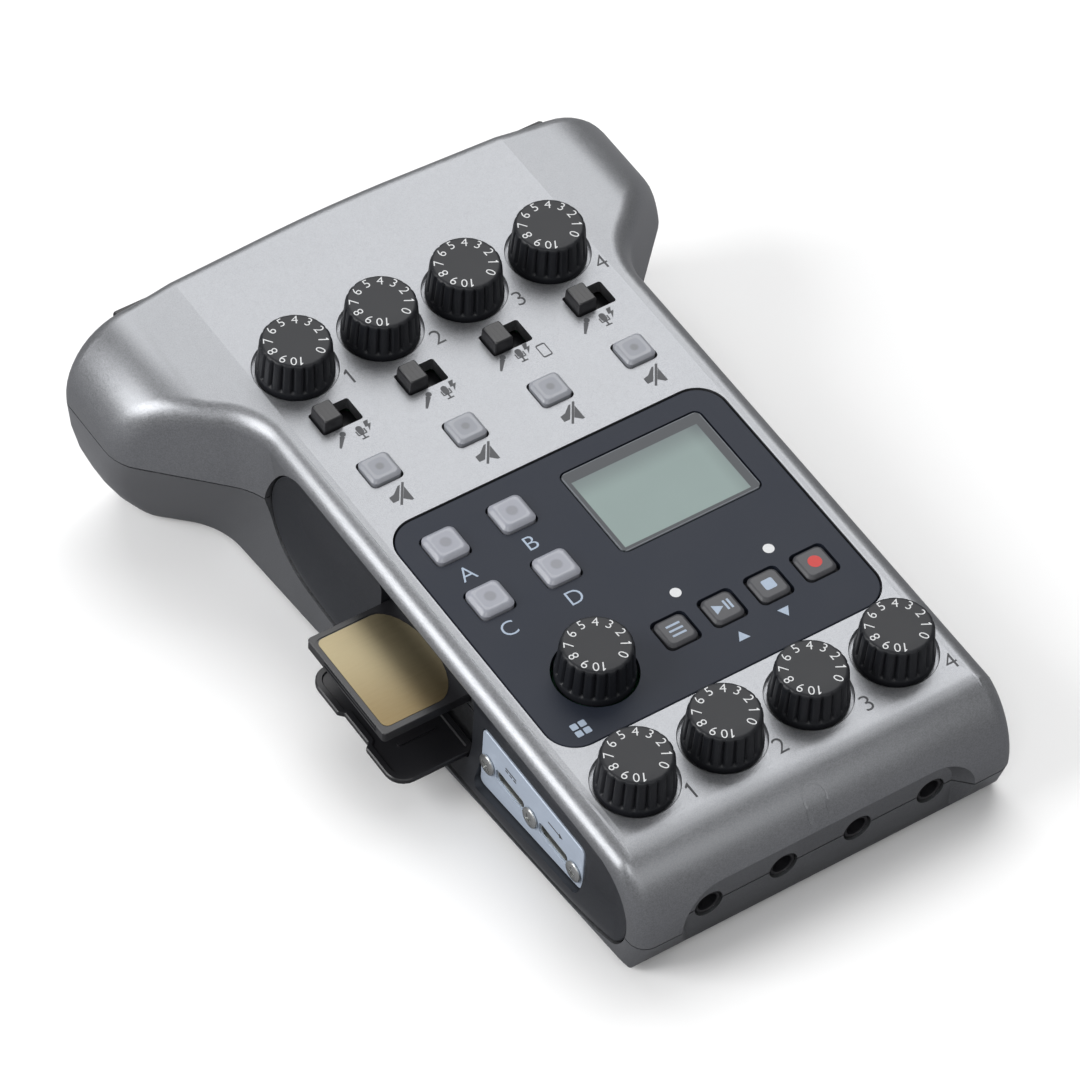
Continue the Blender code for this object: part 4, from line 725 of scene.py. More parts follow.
def flats_first(item, crease, *planes):
    """Flat planes keep their own normal up to their border, and the roundings start from it."""
    mesh = item.data
    mesh.shade_smooth()
    mesh.set_sharp_from_angle(angle=math.radians(crease))
    normals = [corner.vector.copy() for corner in mesh.corner_normals]
    own, at_vertex = {}, {}
    for face in mesh.polygons:
        for plane in planes:
            if face.normal.angle(plane, 3) < math.radians(0.4):
                own[face.index] = plane
                for vertex in face.vertices:
                    at_vertex.setdefault(vertex, set()).add(planes.index(plane))
    for face in mesh.polygons:
        for corner, vertex in zip(face.loop_indices, face.vertices):
            if face.index in own:
                normals[corner] = own[face.index]
            elif vertex in at_vertex:
                near = min((planes[k] for k in at_vertex[vertex]), key=lambda plane: face.normal.angle(plane, 3))
                if face.normal.angle(near, 3) < math.radians(crease):
                    normals[corner] = near
    mesh.normals_split_custom_set(normals)
    return item


def levelled(item):
    """Writes the tilt into the mesh, so that the object's own box is level."""
    item.data.transform(item.matrix_world)
    item.matrix_world = Matrix()
    return item


def shell(name, low, high, *cuts):
    item = bpy.data.objects.new(name, blank.data.copy())
    bpy.context.scene.collection.objects.link(item)
    item.matrix_world = PANEL
    carve(item, ("INTERSECT", slab(low, high), PANEL), ("DIFFERENCE", copy_of(hollow), PANEL),
          ("DIFFERENCE", leaf_pockets(), PANEL), ("DIFFERENCE", scoop(), PANEL),
          ("DIFFERENCE", jack_holes(), PANEL), ("DIFFERENCE", socket_holes(), DESK), *cuts)
    item.data.materials.clear()
    item.data.materials.append(silver)
    slope = Vector((EAR_DROP, 0, HEAD_HALF_WIDTH - EAR_ROLL_WIDTH - EAR_CREASE)).normalized()
    flats_first(item, 28, Vector((0, 0, 1)), slope, Vector((-slope.x, 0, slope.z)))
    return levelled(item)


upper = shell("upper_shell", -PARTING + GAP / 2, BEYOND, ("DIFFERENCE", latch_slots(), DESK),
              ("DIFFERENCE", knob_wells(), PANEL), ("DIFFERENCE", panel_windows(), PANEL),
              ("DIFFERENCE", card_slot(), PANEL))
lower = shell("lower_shell", -LOWEST, -PARTING - GAP / 2,
              ("DIFFERENCE", port_holes(BODY_HALF_WIDTH, 30 * MM, GAP), PANEL),
              ("DIFFERENCE", base_openings(), DESK))
worn_by(upper, "housing", "silver_paint", "upper_case")
worn_by(lower, "housing", "silver_paint", "lower_case")
for form in (blank, hollow):
    bpy.data.objects.remove(form, do_unlink=True)
print("upper shell:", len(upper.data.polygons), "faces; lower shell:", len(lower.data.polygons))

# %% [markdown]
# ## Side panels
#
# The long sides carry leaf-shaped inserts of dark plastic. They are dished: the surface sinks away from a narrow
# rim towards a line along the middle. A stack of ever smaller outlines, each drawn towards that line,
# makes the dish. The left insert is then cut for the card door and for the plate round the data sockets.


# %% Dished inserts
def toward_spine(point, share):
    rear, front = Vector((-22 * MM, -13.8 * MM)), Vector((-109.5 * MM, -13.8 * MM))
    run = front - rear
    along = min(max((Vector(point) - rear).dot(run) / run.length_squared, 0), 1)
    return tuple(Vector(point).lerp(rear + run * along, share))


def leaf_insert(side):
    edge = grown(LEAF, -GAP)
    sections = [(edge, side * 33.5 * MM), (edge, side * 37.25 * MM), (grown(LEAF, -GAP - 0.08 * MM), side * 37.4 * MM),
                (grown(LEAF, -GAP - 0.25 * MM), side * 37.5 * MM)]
    for k in range(1, 13):
        share = 0.62 * k / 12
        depth = 2.1 * MM * (1 - (1 - share / 0.62) ** 1.7)
        sections.append(([toward_spine(point, share) for point in edge], side * (37.5 * MM - depth)))
    return stack(sections, "X")


def plate_outline(grow):
    """Level with the panel above and with the desk below."""
    rear, front = -74.7 * MM + grow, -104.9 * MM - grow
    top, low = -11.6 * MM + grow, -25.7 * MM - grow
    lift = 30.2 * MM * math.tan(TILT)
    corner = 1.2 * MM + grow
    return filleted([(rear, top, corner), (front, top, corner), (front, low + lift, corner), (rear, low, corner)], 6)


def door_opening():
    outline = rounded_rectangle(28.6 * MM, 16.3 * MM, 0.6 * MM, (-57.2 * MM, -14.95 * MM), 3)
    return prism(outline, -42 * MM, -32.5 * MM, "X")


left = piece("left_insert", leaf_insert(-1), panel_black, crease=25)
carve(left, ("DIFFERENCE", door_opening(), PANEL),
      ("DIFFERENCE", prism(plate_outline(GAP), -42 * MM, -34.5 * MM, "X"), PANEL),
      ("DIFFERENCE", port_holes(42 * MM, 32.5 * MM, GAP), PANEL))
shaded(levelled(left), 25)
right = piece("right_insert", leaf_insert(1), panel_black, crease=25)
power_slot = rounded_rectangle(9.2 * MM, 3.6 * MM, 0.9 * MM, (-58 * MM, -14.5 * MM))
carve(right, ("DIFFERENCE", prism(power_slot, 32.5 * MM, 42 * MM, "X"), PANEL))
shaded(levelled(right), 25)
worn_by(left, "housing", "dark_panel", "left_side_panel")
worn_by(right, "housing", "dark_panel", "right_side_panel")
print("inserts:", len(left.data.polygons), "and", len(right.data.polygons), "faces")


# %% Power switch in the right insert
def power_slider():
    shape = bmesh.new()
    body = rounded_rectangle(4.5 * MM, 3 * MM, 0.6 * MM)
    crown = rounded_rectangle(3.6 * MM, 2.7 * MM, 0.6 * MM)
    add_stack(shape, [(body, 33.5 * MM), (body, 35.8 * MM), (crown, 36.2 * MM)], "X")
    for k in (-1, 0, 1):
        ridge = rounded_rectangle(0.45 * MM, 2.2 * MM, 0.15 * MM, (k * 1.1 * MM, 0), 3)
        add_prism(shape, ridge, 36 * MM, 36.3 * MM, "X")
    return shape


slider = piece("power_slider", power_slider(), black, (0, -55.95 * MM, -14.5 * MM))
worn_by(slider, "power_switch", "black_plastic", "power_switch")
print("power slider ready")

# %% [markdown]
# ## Fascia and display
#
# The fascia is a dark blue-grey plate, let into the panel almost flush. Its edge is rounded so that a fine light
# line runs round it. The display is a printed window: a smoked frame round a grey-green area. Both
# lie under one glossy face, so one coated material with a rectangle in its colour shows it best.


# %% Fascia plate
def bevelled_plate(width, depth, radius, low, high, edge, centre=(0, 0), steps=10):
    """Plate with a small rounded upper edge."""
    sections = [(rounded_rectangle(width, depth, radius, centre, steps), low)]
    for k in range(4):
        turn = math.radians(30 * k)
        inset = edge * (1 - math.cos(turn))
        outline = rounded_rectangle(width - 2 * inset, depth - 2 * inset, radius - inset, centre, steps)
        sections.append((outline, high - edge + edge * math.sin(turn)))
    return stack(sections)


def fascia_windows():
    shape = bmesh.new()
    for place in PADS:
        add_prism(shape, rounded_rectangle(7.1 * MM, 7.1 * MM, 1.2 * MM, place), -3 * MM, 2 * MM)
    for place in TRANSPORT:
        add_prism(shape, rounded_rectangle(6.9 * MM, 6.9 * MM, 1.2 * MM, place), -3 * MM, 2 * MM)
    add_prism(shape, circle(7.5 * MM, 72, SOUND_KNOB), -3 * MM, 2 * MM)
    add_prism(shape, rounded_rectangle(28.9 * MM, 20.3 * MM, 1.5 * MM, DISPLAY), -1.05 * MM, 2 * MM)
    return shape


DISPLAY = (13.53 * MM, -53.25 * MM)
width, depth, corner, centre = FASCIA
fascia = piece("fascia", bevelled_plate(width, depth, corner, -1.65 * MM, -0.15 * MM, 0.25 * MM, centre, 14), fascia_slate)
carve(fascia, ("DIFFERENCE", fascia_windows(), PANEL))
shaded(fascia, 30)
worn_by(fascia, "housing", "slate_fascia", "control_fascia")
print("fascia:", len(fascia.data.polygons), "faces")

# %% Display window
display = Finish("display_glass", (0.2, 0.22, 0.22), 0.45, coat_weight=0.4, coat_roughness=0.1, specular_ior_level=0.2)
across, along, _ = display.place()


def within(value, low, high, soft):
    """1 between two limits, with soft ends."""
    return (value - low).fade(-soft, soft) * (high - value).fade(-soft, soft)


inside = within(across, -13.2 * MM, 12.3 * MM, 0.08 * MM) * within(along, -9.0 * MM, 7.4 * MM, 0.08 * MM)
border = within(across, -13.9 * MM, 13.9 * MM, 0.06 * MM) * within(along, -9.6 * MM, 9.6 * MM, 0.06 * MM)
shadow = (along - 3.6 * MM).fade(-1.2 * MM, 4.0 * MM) * 0.6 + (across - 10.2 * MM).fade(-1 * MM, 2.2 * MM) * 0.3
haze = display.noise(14 * MM, 2)
screen = display.mix(haze, (0.17, 0.225, 0.215), (0.20, 0.262, 0.25))
screen = display.mix(shadow, screen, (0.07, 0.09, 0.095))
frame_tone = display.mix(border, (0.10, 0.11, 0.125), (0.030, 0.035, 0.042))
display.feed("Base Color", display.mix(inside, frame_tone, screen))
display.feed("Roughness", haze * 0.1 + 0.4)
window = piece("display_window_glass", bevelled_plate(28.3 * MM, 19.7 * MM, 1.2 * MM, -0.75 * MM, -0.15 * MM, 0.15 * MM),
               display.material, (*DISPLAY, 0))
worn_by(window, "housing", "smoked_window", "display_window")
print("display window ready")

# %% [markdown]
# ## Knobs
#
# Nine equal knobs do most of the work. Each is a slightly tapered drum with twenty narrow grooves and a plain skirt
# under them. The rings of the stack take the grooves as a radius that dips at twenty places. The dial is
# printed on top: the numbers 0 to 10, their feet towards the middle, so they turn with the knob. All nine
# objects share one mesh.


# %% Lettering helper
def gather(shapes):
    """One shape from several of the same material."""
    first = bmesh.new()
    for other in shapes:
        mesh = bpy.data.meshes.new("gathered")
        other.to_mesh(mesh)
        other.free()
        first.from_mesh(mesh)
        bpy.data.meshes.remove(mesh)
    return first


def figure_one(height, thickness, weight=0.12):
    """The figure 1 with a flag."""
    w = weight / 2
    points = [(-w, -0.5), (w, -0.5), (w, 0.5), (0, 0.5), (-0.2, 0.32), (-0.2, 0.2), (-w, 0.27)]
    return prism([(x * height, y * height) for x, y in points], 0, thickness)


def lettering(text, height, thickness=0.03 * MM):
    """Characters as a closed mesh, centred on the origin and lying on z = 0."""
    if text == "1":
        return figure_one(height, thickness)
    if text == "10":
        parts = figure_one(height, thickness), lettering("0", height, thickness)
        for shape, side in zip(parts, (-1, 1)):
            bmesh.ops.translate(shape, verts=shape.verts[:], vec=(side * height * 0.34, 0, 0))
        return gather(parts)
    curve = bpy.data.curves.new("lettering", "FONT")
    curve.body, curve.size = text, height / 0.70
    curve.align_x, curve.extrude, curve.resolution_u = "CENTER", thickness / 2, 4
    curve.offset = -height * 0.012
    item = bpy.data.objects.new("lettering", curve)
    bpy.context.scene.collection.objects.link(item)
    bpy.context.view_layer.update()
    mesh = bpy.data.meshes.new_from_object(item.evaluated_get(bpy.context.evaluated_depsgraph_get()))
    bpy.data.objects.remove(item, do_unlink=True)
    shape = bmesh.new()
    shape.from_mesh(mesh)
    bpy.data.meshes.remove(mesh)
    xs, ys = [v.co.x for v in shape.verts], [v.co.y for v in shape.verts]
    middle = ((min(xs) + max(xs)) / 2, (min(ys) + max(ys)) / 2, -thickness / 2)
    bmesh.ops.translate(shape, verts=shape.verts[:], vec=[-m for m in middle])
    return shape


def join_shapes(*shapes):
    """One shape from several. Each further shape takes the next material."""
    first = shapes[0]
    for index, other in enumerate(shapes[1:], 1):
        for face in other.faces:
            face.material_index = index
        mesh = bpy.data.meshes.new("joined")
        other.to_mesh(mesh)
        other.free()
        first.from_mesh(mesh)
        bpy.data.meshes.remove(mesh)
    return first


print("lettering ready")


# %% Knob and its dial
GROOVES = 20
KNOB_TOP = 7.05 * MM


def knob_ring(radius, depth):
    """A ring whose radius dips at each groove."""
    ring = []
    for k in range(GROOVES * 10):
        angle = 2 * math.pi * k / (GROOVES * 10)
        off = abs((k / 10 + 0.5) % 1 - 0.5)
        here = radius - depth * math.exp(-((off / 0.13) ** 2))
        ring.append((here * math.cos(angle), here * math.sin(angle)))
    return ring


def knob_body():
    shape = bmesh.new()
    plain = [(3.0, -2.15, 0), (3.0, -0.7, 0), (6.9, -0.7, 0), (6.9, 0.45, 0), (6.8, 0.7, 0)]
    fluted = [(6.75, 0.85, 0.3), (6.7, 1.2, 0.55), (6.5, 3.6, 0.55), (6.32, 5.9, 0.55), (6.25, 6.35, 0.4)]
    crown = [(6.15, 6.65, 0.16), (5.95, 6.88, 0.03), (5.7, 7.0, 0), (5.45, 7.05, 0), (3, 7.03, 0), (0.8, 7.02, 0)]
    add_stack(shape, [(knob_ring(r * MM, d * MM), z * MM) for r, z, d in plain + fluted + crown])
    return shape


def dial():
    digits = []
    for k in range(11):
        angle = math.radians(-59 + 30 * k)
        shape = lettering(str(k), 1.8 * MM, 0.02 * MM)
        turn = Matrix.Rotation(angle - math.pi / 2, 4, "Z")
        place = Matrix.Translation((4.72 * MM * math.cos(angle), 4.72 * MM * math.sin(angle), KNOB_TOP - 0.01 * MM))
        bmesh.ops.transform(shape, matrix=place @ turn, verts=shape.verts[:])
        digits.append(shape)
    return gather(digits)


knob = piece("input_1_knob", join_shapes(knob_body(), dial()), soft_black, (KNOB_XS[0], 0, 0), crease=40)
knob.data.materials.append(print_white)
worn_by(knob, "input_knob_1", "black_plastic", "input_knob_1")
for number, x in enumerate(KNOB_XS, 1):
    if number > 1:
        name = f"input_knob_{number}"
        worn_by(twin(f"input_{number}_knob", knob, (x, 0, 0)), name, "black_plastic", name)
    name = f"phones_knob_{number}"
    worn_by(twin(f"phones_{number}_knob", knob, (x, PHONES_ROW, 0)), name, "black_plastic", name)
worn_by(twin("sound_knob", knob, (*SOUND_KNOB, 0)), "sound_pad_knob", "black_plastic", "sound_pad_knob")
print("knob mesh:", len(knob.data.polygons), "faces, used 9 times")

# %% [markdown]
# ## Switches and keys
#
# Each channel has a slide switch in a dark slot and a milky key that lights when the channel is muted.
# The four sound pads are larger keys of the same clear plastic. Such a key glows from a lamp in its middle, so
# a disc shows through the face. A distance from the middle, computed from the piece's own x and y, draws
# the disc, the frosted ring round it and the clear bevel. The transport keys are dark and carry signs.


# %% Slide switches
def switch_shape():
    low = -2.9
    sections = [((6.3, 5.9, 0.5), low - 0.8), ((6.3, 5.9, 0.5), low), ((3.9, 4.7, 0.35), low), ((3.9, 4.7, 0.35), -0.3),
                ((3.62, 4.6, 0.35), 2.05), ((3.5, 4.5, 0.35), 2.35), ((3.25, 4.3, 0.35), 2.55), ((2.9, 4.0, 0.35), 2.68)]
    shape = stack([(rounded_rectangle(w * MM, d * MM, r * MM, steps=4), z * MM) for (w, d, r), z in sections])
    for k in (-1, 0, 1):
        ridge = rounded_rectangle(0.3 * MM, 3.4 * MM, 0.1 * MM, (k * 0.85 * MM, 0), 3)
        add_prism(shape, ridge, 2.6 * MM, 2.7 * MM)
    return shape


switch_start = -(8 - 3.9) / 2 * MM + GAP
first_switch = piece("mode_switch_1", switch_shape(), black, (KNOB_XS[0] + switch_start, SWITCH_ROW, 0))
worn_by(first_switch, "input_switch_1", "black_plastic", "input_switch_1")
for number, x in enumerate(KNOB_XS[1:], 2):
    item = twin(f"mode_switch_{number}", first_switch, (x + switch_start, SWITCH_ROW, 0))
    worn_by(item, f"input_switch_{number}", "black_plastic", f"input_switch_{number}")
slots = bmesh.new()
for x in KNOB_XS:
    add_prism(slots, rounded_rectangle(9 * MM, 6.3 * MM, 0.8 * MM, (x, SWITCH_ROW)), -4.4 * MM, -3.9 * MM)
worn_by(piece("switch_slot_floors", slots, black), "housing", "black_plastic")
print("4 slide switches")


# %% Milky keys
def milky(name, face, ring, disc, half, lamp):
    """Clear plastic key: a bevel, a frosted ring and a disc in the middle."""
    finish = Finish(name, face, 0.3, coat_weight=0.4, coat_roughness=0.15, subsurface_weight=0.15, specular_ior_level=0.3)
    finish.set("Subsurface Radius", (0.002, 0.002, 0.0022))
    x, y, _ = finish.place()
    square = (x * x * x * x + y * y * y * y).math("POWER", 0.25)
    from_middle = (x * x + y * y).math("SQRT")
    cloud = finish.noise(1.2 * MM, 2)
    base = finish.mix((square - half).fade(0.16 * MM, -0.16 * MM), face, ring)
    base = finish.mix((from_middle - lamp).fade(0.3 * MM, -0.25 * MM), base, disc)
    finish.feed("Base Color", finish.mix(cloud * 0.25, base, tuple(c * 0.8 for c in face)))
    finish.feed("Roughness", cloud * 0.12 + 0.26)
    finish.bump(finish.noise(0.2 * MM), 0.004 * MM)
    return finish.material


def key_body(size, corner, seat, height, bevel):
    """Cap with a bevel, over a flange under the plate and a stem."""
    def square(width, radius):
        return rounded_rectangle(width * MM, width * MM, radius * MM, steps=5)

    stem = arc((0, 0), (1.5 * MM, 1.5 * MM), 3.75, 363.75, 24)[:-1]
    flange = square(size + 1.8, corner)
    sections = [(stem, -6.9 * MM), (stem, (seat - 1.1) * MM), (flange, (seat - 1.1) * MM), (flange, (seat - 0.3) * MM),
                (square(size, corner), (seat - 0.3) * MM), (square(size, corner), (height - bevel) * MM)]
    for inset, drop in ((0.3, 0.62), (0.72, 0.24), (1.1, 0.05), (1.35, 0)):
        here = size - 2 * bevel * inset
        sections.append((square(here, corner - bevel * inset * 0.5), (height - bevel * drop) * MM))
    return stack(sections)


mute_finish = milky("mute_key_milky", (0.27, 0.28, 0.31), (0.21, 0.22, 0.25), (0.13, 0.135, 0.15), 1.75 * MM, 0.7 * MM)
pad_finish = milky("pad_milky", (0.30, 0.31, 0.35), (0.25, 0.26, 0.30), (0.17, 0.175, 0.20), 2.05 * MM, 1.0 * MM)
first_mute = piece("mute_key_1", key_body(5.8, 1.0, -2.6, 1.1, 0.55), mute_finish, (KNOB_XS[0], MUTE_ROW, 0))
worn_by(first_mute, "mute_button_1", "milky_plastic", "mute_button_1")
for number, x in enumerate(KNOB_XS[1:], 2):
    item = twin(f"mute_key_{number}", first_mute, (x, MUTE_ROW, 0))
    worn_by(item, f"mute_button_{number}", "milky_plastic", f"mute_button_{number}")
first_pad = piece("pad_key_a", key_body(6.5, 1.2, -1.65, 1.1, 0.75), pad_finish, (*PADS[0], 0))
worn_by(first_pad, "pad_button_a", "milky_plastic", "pad_button_a")
for letter, place in zip("bcd", PADS[1:]):
    item = twin(f"pad_key_{letter}", first_pad, (*place, 0))
    worn_by(item, f"pad_button_{letter}", "milky_plastic", f"pad_button_{letter}")
print("4 mute keys and 4 pads")


# %% Transport keys and their signs
def bars(*boxes):
    shape = bmesh.new()
    for x, y, w, d in boxes:
        add_prism(shape, rounded_rectangle(w * MM, d * MM, min(w, d) * 0.15 * MM, (x * MM, y * MM), 2), 0, 0.03 * MM)
    return shape


def polygon(*points):
    return prism([(x * MM, y * MM) for x, y in points], 0, 0.03 * MM)


KEY_TOP = 0.3 * MM
signs = [("menu", bars((0, 1.05, 2.7, 0.42), (0, 0, 2.7, 0.42), (0, -1.05, 2.7, 0.42)), print_blue),
         ("play", gather([polygon((-1.7, -1.05), (0.1, 0), (-1.7, 1.05)), bars((0.65, 0, 0.42, 2.1), (1.45, 0, 0.42, 2.1))]),
          print_blue),
         ("stop", bars((0, 0, 2.2, 2.2)), print_blue),
         ("record", prism(circle(1.25 * MM, 32), 0, 0.03 * MM), print_red)]
first_key = None
for (name, sign, ink), place in zip(signs, TRANSPORT):
    body = f"{name}_button"
    if first_key is None:
        first_key = key = piece(f"{name}_key", key_body(5.9, 1.2, -1.65, 0.3, 0.5), key_grey, (*place, 0))
    else:
        key = twin(f"{name}_key", first_key, (*place, 0))
    worn_by(key, body, "key_grey", body)
    worn_by(piece(f"{name}_sign", sign, ink, (*place, KEY_TOP - 0.01 * MM)), body, "key_grey")
print("4 transport keys")

# %% [markdown]
# ## Printed marks
#
# The panel carries small prints: channel numbers, letters by the pads, pictures for microphone, phone
# and mute, and arrows. They are drawn here as thin plates of ink, 0.03 mm high. Real screen print is
# thinner still, but this much keeps the ink clear of the surface under it at any distance.


# %% Numbers, letters and lamps
def mark(name, shape, x, y, ink, slot, level=0.0):
    return worn_by(piece(name, shape, ink, (x * MM, y * MM, level - 0.005 * MM), crease=20), "housing", slot)


for number, (x, y) in enumerate(((-18.8, -6.4), (-1.3, -6.6), (15.6, -6.4), (32.4, -6.7)), 1):
    mark(f"input_number_{number}", lettering(str(number), 3.3 * MM), x, y, print_dark, "silver_paint")
for number, (x, y) in enumerate(((-19, -110.4), (-1.5, -110.3), (15.7, -110.5), (32.6, -110.5)), 1):
    mark(f"phones_number_{number}", lettering(str(number), 3.3 * MM), x, y, print_dark, "silver_paint")
FASCIA_TOP = -0.15 * MM
for letter, (x, y) in zip("ABCD", ((-25.4, -53.25), (-12.6, -53.2), (-25.85, -66.7), (-12.75, -66.7))):
    mark(f"pad_letter_{letter}", lettering(letter, 3.1 * MM), x, y, print_blue, "slate_fascia", FASCIA_TOP)
for name, x, y in (("left", 2.04, -74.7), ("right", 20.7, -74.9)):
    dot = prism(circle(1.0 * MM, 32), 0, 0.03 * MM)
    mark(f"lamp_{name}", dot, x, y, print_white, "slate_fascia", FASCIA_TOP)
mark("arrow_up", polygon((-1.1, -0.9), (1.1, -0.9), (0, 1.0)), 6.3, -88.0, print_blue, "slate_fascia", FASCIA_TOP)
mark("arrow_down", polygon((-1.1, 0.9), (1.1, 0.9), (0, -1.0)), 15.4, -87.6, print_blue, "slate_fascia", FASCIA_TOP)
four = bars(*[(x, y, 1.25, 1.25) for x in (-0.8, 0.8) for y in (-0.8, 0.8)])
mark("four_pads_sign", four, -27.3, -90.4, print_blue, "slate_fascia", FASCIA_TOP)
print("numbers, letters, lamps and arrows printed")


# %% Pictures
def turned(shape, degrees):
    bmesh.ops.rotate(shape, verts=shape.verts[:], matrix=Matrix.Rotation(math.radians(degrees), 3, "Z"))
    return shape


def hand_microphone():
    head = prism(circle(0.55 * MM, 24, (0, 1.25 * MM)), 0, 0.03 * MM)
    return gather([head, polygon((-0.45, 0.7), (0.45, 0.7), (0.2, -1.9), (-0.2, -1.9))])


def studio_microphone():
    head = prism(rounded_rectangle(1.15 * MM, 1.9 * MM, 0.57 * MM, (-0.5 * MM, 0.55 * MM)), 0, 0.03 * MM)
    bolt = polygon((0.95, 1.9), (1.9, 1.9), (1.45, 1.05), (2.0, 1.05), (0.9, -0.5), (1.2, 0.65), (0.7, 0.65))
    return gather([head, bars((-0.5, -0.95, 0.3, 0.9), (-0.5, -1.4, 1.3, 0.28), (-1.3, 0.1, 0.24, 1.0),
                              (0.3, 0.1, 0.24, 1.0), (-0.5, -0.45, 1.7, 0.24)), bolt])


def crossed_speaker():
    """Loudspeaker in two halves, with a stroke between them."""
    left = polygon((-2.3, -0.9), (-2.3, 0.4), (-1.2, 0.65), (0.3, 1.9), (0.75, 1.9), (-1.15, -0.9))
    right = polygon((-0.3, -0.9), (1.2, 1.3), (1.2, -1.9), (0.75, -1.9))
    return gather([left, right, turned(bars((0.15, 0, 5.0, 0.45)), 56)])


def ring_of(outer, inner):
    """Frame between two outlines with as many points."""
    shape = bmesh.new()
    rings = [[shape.verts.new((u, v, z)) for u, v in outline] for outline, z in
             ((outer, 0), (outer, 0.03 * MM), (inner, 0.03 * MM), (inner, 0))]
    for a, b in zip(rings, rings[1:] + rings[:1]):
        for k in range(len(a)):
            n = (k + 1) % len(a)
            shape.faces.new((a[k], a[n], b[n], b[k]))
    return shape


def phone_outline():
    outer = rounded_rectangle(1.9 * MM, 3.1 * MM, 0.4 * MM)
    return ring_of(outer, rounded_rectangle(1.5 * MM, 2.5 * MM, 0.15 * MM))


for number, (x, y) in enumerate(((-27.65, -17.85), (-10.4, -17.85), (5.0, -17.35), (22.0, -17.7)), 1):
    mark(f"hand_microphone_{number}", turned(hand_microphone(), -38), x, y, print_dark, "silver_paint")
for number, (x, y) in enumerate(((-23.4, -18.1), (-6.2, -18.0), (9.2, -17.5), (26.1, -18.1)), 1):
    mark(f"studio_microphone_{number}", studio_microphone(), x, y, print_dark, "silver_paint")
for number, (x, y) in enumerate(((-25.4, -33.2), (-8.1, -33.1), (9.1, -33.1), (26.0, -33.3)), 1):
    mark(f"mute_sign_{number}", crossed_speaker(), x, y, print_dark, "silver_paint")
mark("phone_sign", phone_outline(), 12.75, -18.6, print_dark, "silver_paint")
print("pictures printed")


# %% Headphone sign on the nose
def on_nose(u, v, lift):
    """Point of the round nose, v metres in front of its start along the panel."""
    angle = math.acos(-v / NOSE_LENGTH)
    y = -NOSE_START + NOSE_LENGTH * math.cos(angle)
    z = -PARTING + PARTING * math.sin(angle)
    normal = Vector((0, math.cos(angle) / NOSE_LENGTH, math.sin(angle) / PARTING)).normalized()
    return Vector((u, y, z)) + normal * lift


def headphone_sign():
    outer, inner = arc((0, 0), (2.3 * MM, 2.3 * MM), -20, 200, 24), arc((0, 0), (1.95 * MM, 1.95 * MM), 200, -20, 24)
    band = prism(outer + inner, 0, 0.03 * MM)
    cups = [prism(rounded_rectangle(0.9 * MM, 1.7 * MM, 0.4 * MM, (side * 1.9 * MM, -1.5 * MM)), 0, 0.03 * MM)
            for side in (-1, 1)]
    shape = gather([band, *cups])
    for vert in shape.verts:
        vert.co = on_nose(vert.co.x, 7.6 * MM - vert.co.y, vert.co.z * 2 - 0.01 * MM)
    return shape


nose_sign = piece("headphone_sign", headphone_sign(), silver, (-1 * MM, 0, 0), crease=20)
worn_by(nose_sign, "housing", "silver_paint")
print("headphone sign on the nose")

# %% [markdown]
# ## Data sockets
#
# Power and data come in at the left side, through a bright plate held by three cross-head screws.
# The plate is a stamped sheet, so it has sharp outlines with a faint roll at the edge. Behind each slot
# sits a metal socket shell with a tongue.


# %% Plate and screws
plate = piece("socket_plate", stack([(plate_outline(0), -34.8 * MM), (plate_outline(0), -35.5 * MM),
                                     (plate_outline(-0.12 * MM), -35.6 * MM)], "X"), plate_metal)
carve(plate, ("DIFFERENCE", port_holes(42 * MM, 32 * MM, 0), PANEL))
shaded(plate, 30)
worn_by(plate, "housing", "plate_metal", "connector_plate")


def screw_shape():
    rings = [(0.9, 33.8), (0.9, 35.75), (1.98, 35.75), (2.0, 35.95), (1.9, 36.12), (1.6, 36.22), (1.1, 36.27), (0.4, 36.28)]
    return stack([(circle(r * MM, 48), -x * MM) for r, x in rings], "X")


def cross_slot():
    shape = bmesh.new()
    add_prism(shape, rounded_rectangle(2.3 * MM, 0.42 * MM, 0.1 * MM, steps=2), -40 * MM, -35.95 * MM, "X")
    return shape


def cross_slot_down():
    return prism(rounded_rectangle(0.42 * MM, 2.3 * MM, 0.1 * MM, steps=2), -40 * MM, -35.95 * MM, "X")


for number, y in enumerate((-76.8, -89.75, -102.7), 1):
    place = Matrix.Translation((0, y * MM, -19 * MM)) @ Matrix.Rotation(math.radians(25 * number), 4, "X")
    screw = piece(f"screw_{number}", screw_shape(), steel, (0, y * MM, -19 * MM))
    carve(screw, ("DIFFERENCE", cross_slot(), PANEL @ place), ("DIFFERENCE", cross_slot_down(), PANEL @ place))
    shaded(screw, 35)
    worn_by(screw, "housing", "steel", f"plate_screw_{number}")
print("plate and 3 screws")


# %% Socket shells and prints on the plate
def socket_shells():
    shapes = []
    for y in (-83.275 * MM, -96.225 * MM):
        place = (y, -19 * MM)
        outer, inner = rounded_rectangle(8.3 * MM, 2.5 * MM, 1.2 * MM, place), rounded_rectangle(7.7 * MM, 1.9 * MM, 0.9 * MM, place)
        sections = [(outer, -29 * MM), (outer, -35.3 * MM), (inner, -35.3 * MM), (inner, -29.5 * MM)]
        shapes.append(stack(sections, "X"))
        shapes.append(prism(rounded_rectangle(5.6 * MM, 0.6 * MM, 0.15 * MM, place), -34.9 * MM, -29.4 * MM, "X"))
    return gather(shapes)


def flat_on_plate(shape, y, z):
    """Stands a flat print up on the plate's outer face, at y and z."""
    for vert in shape.verts:
        u, v, lift = vert.co
        vert.co = (-35.6 * MM + 0.01 * MM - lift, y * MM - u, z * MM + v)
    return shape


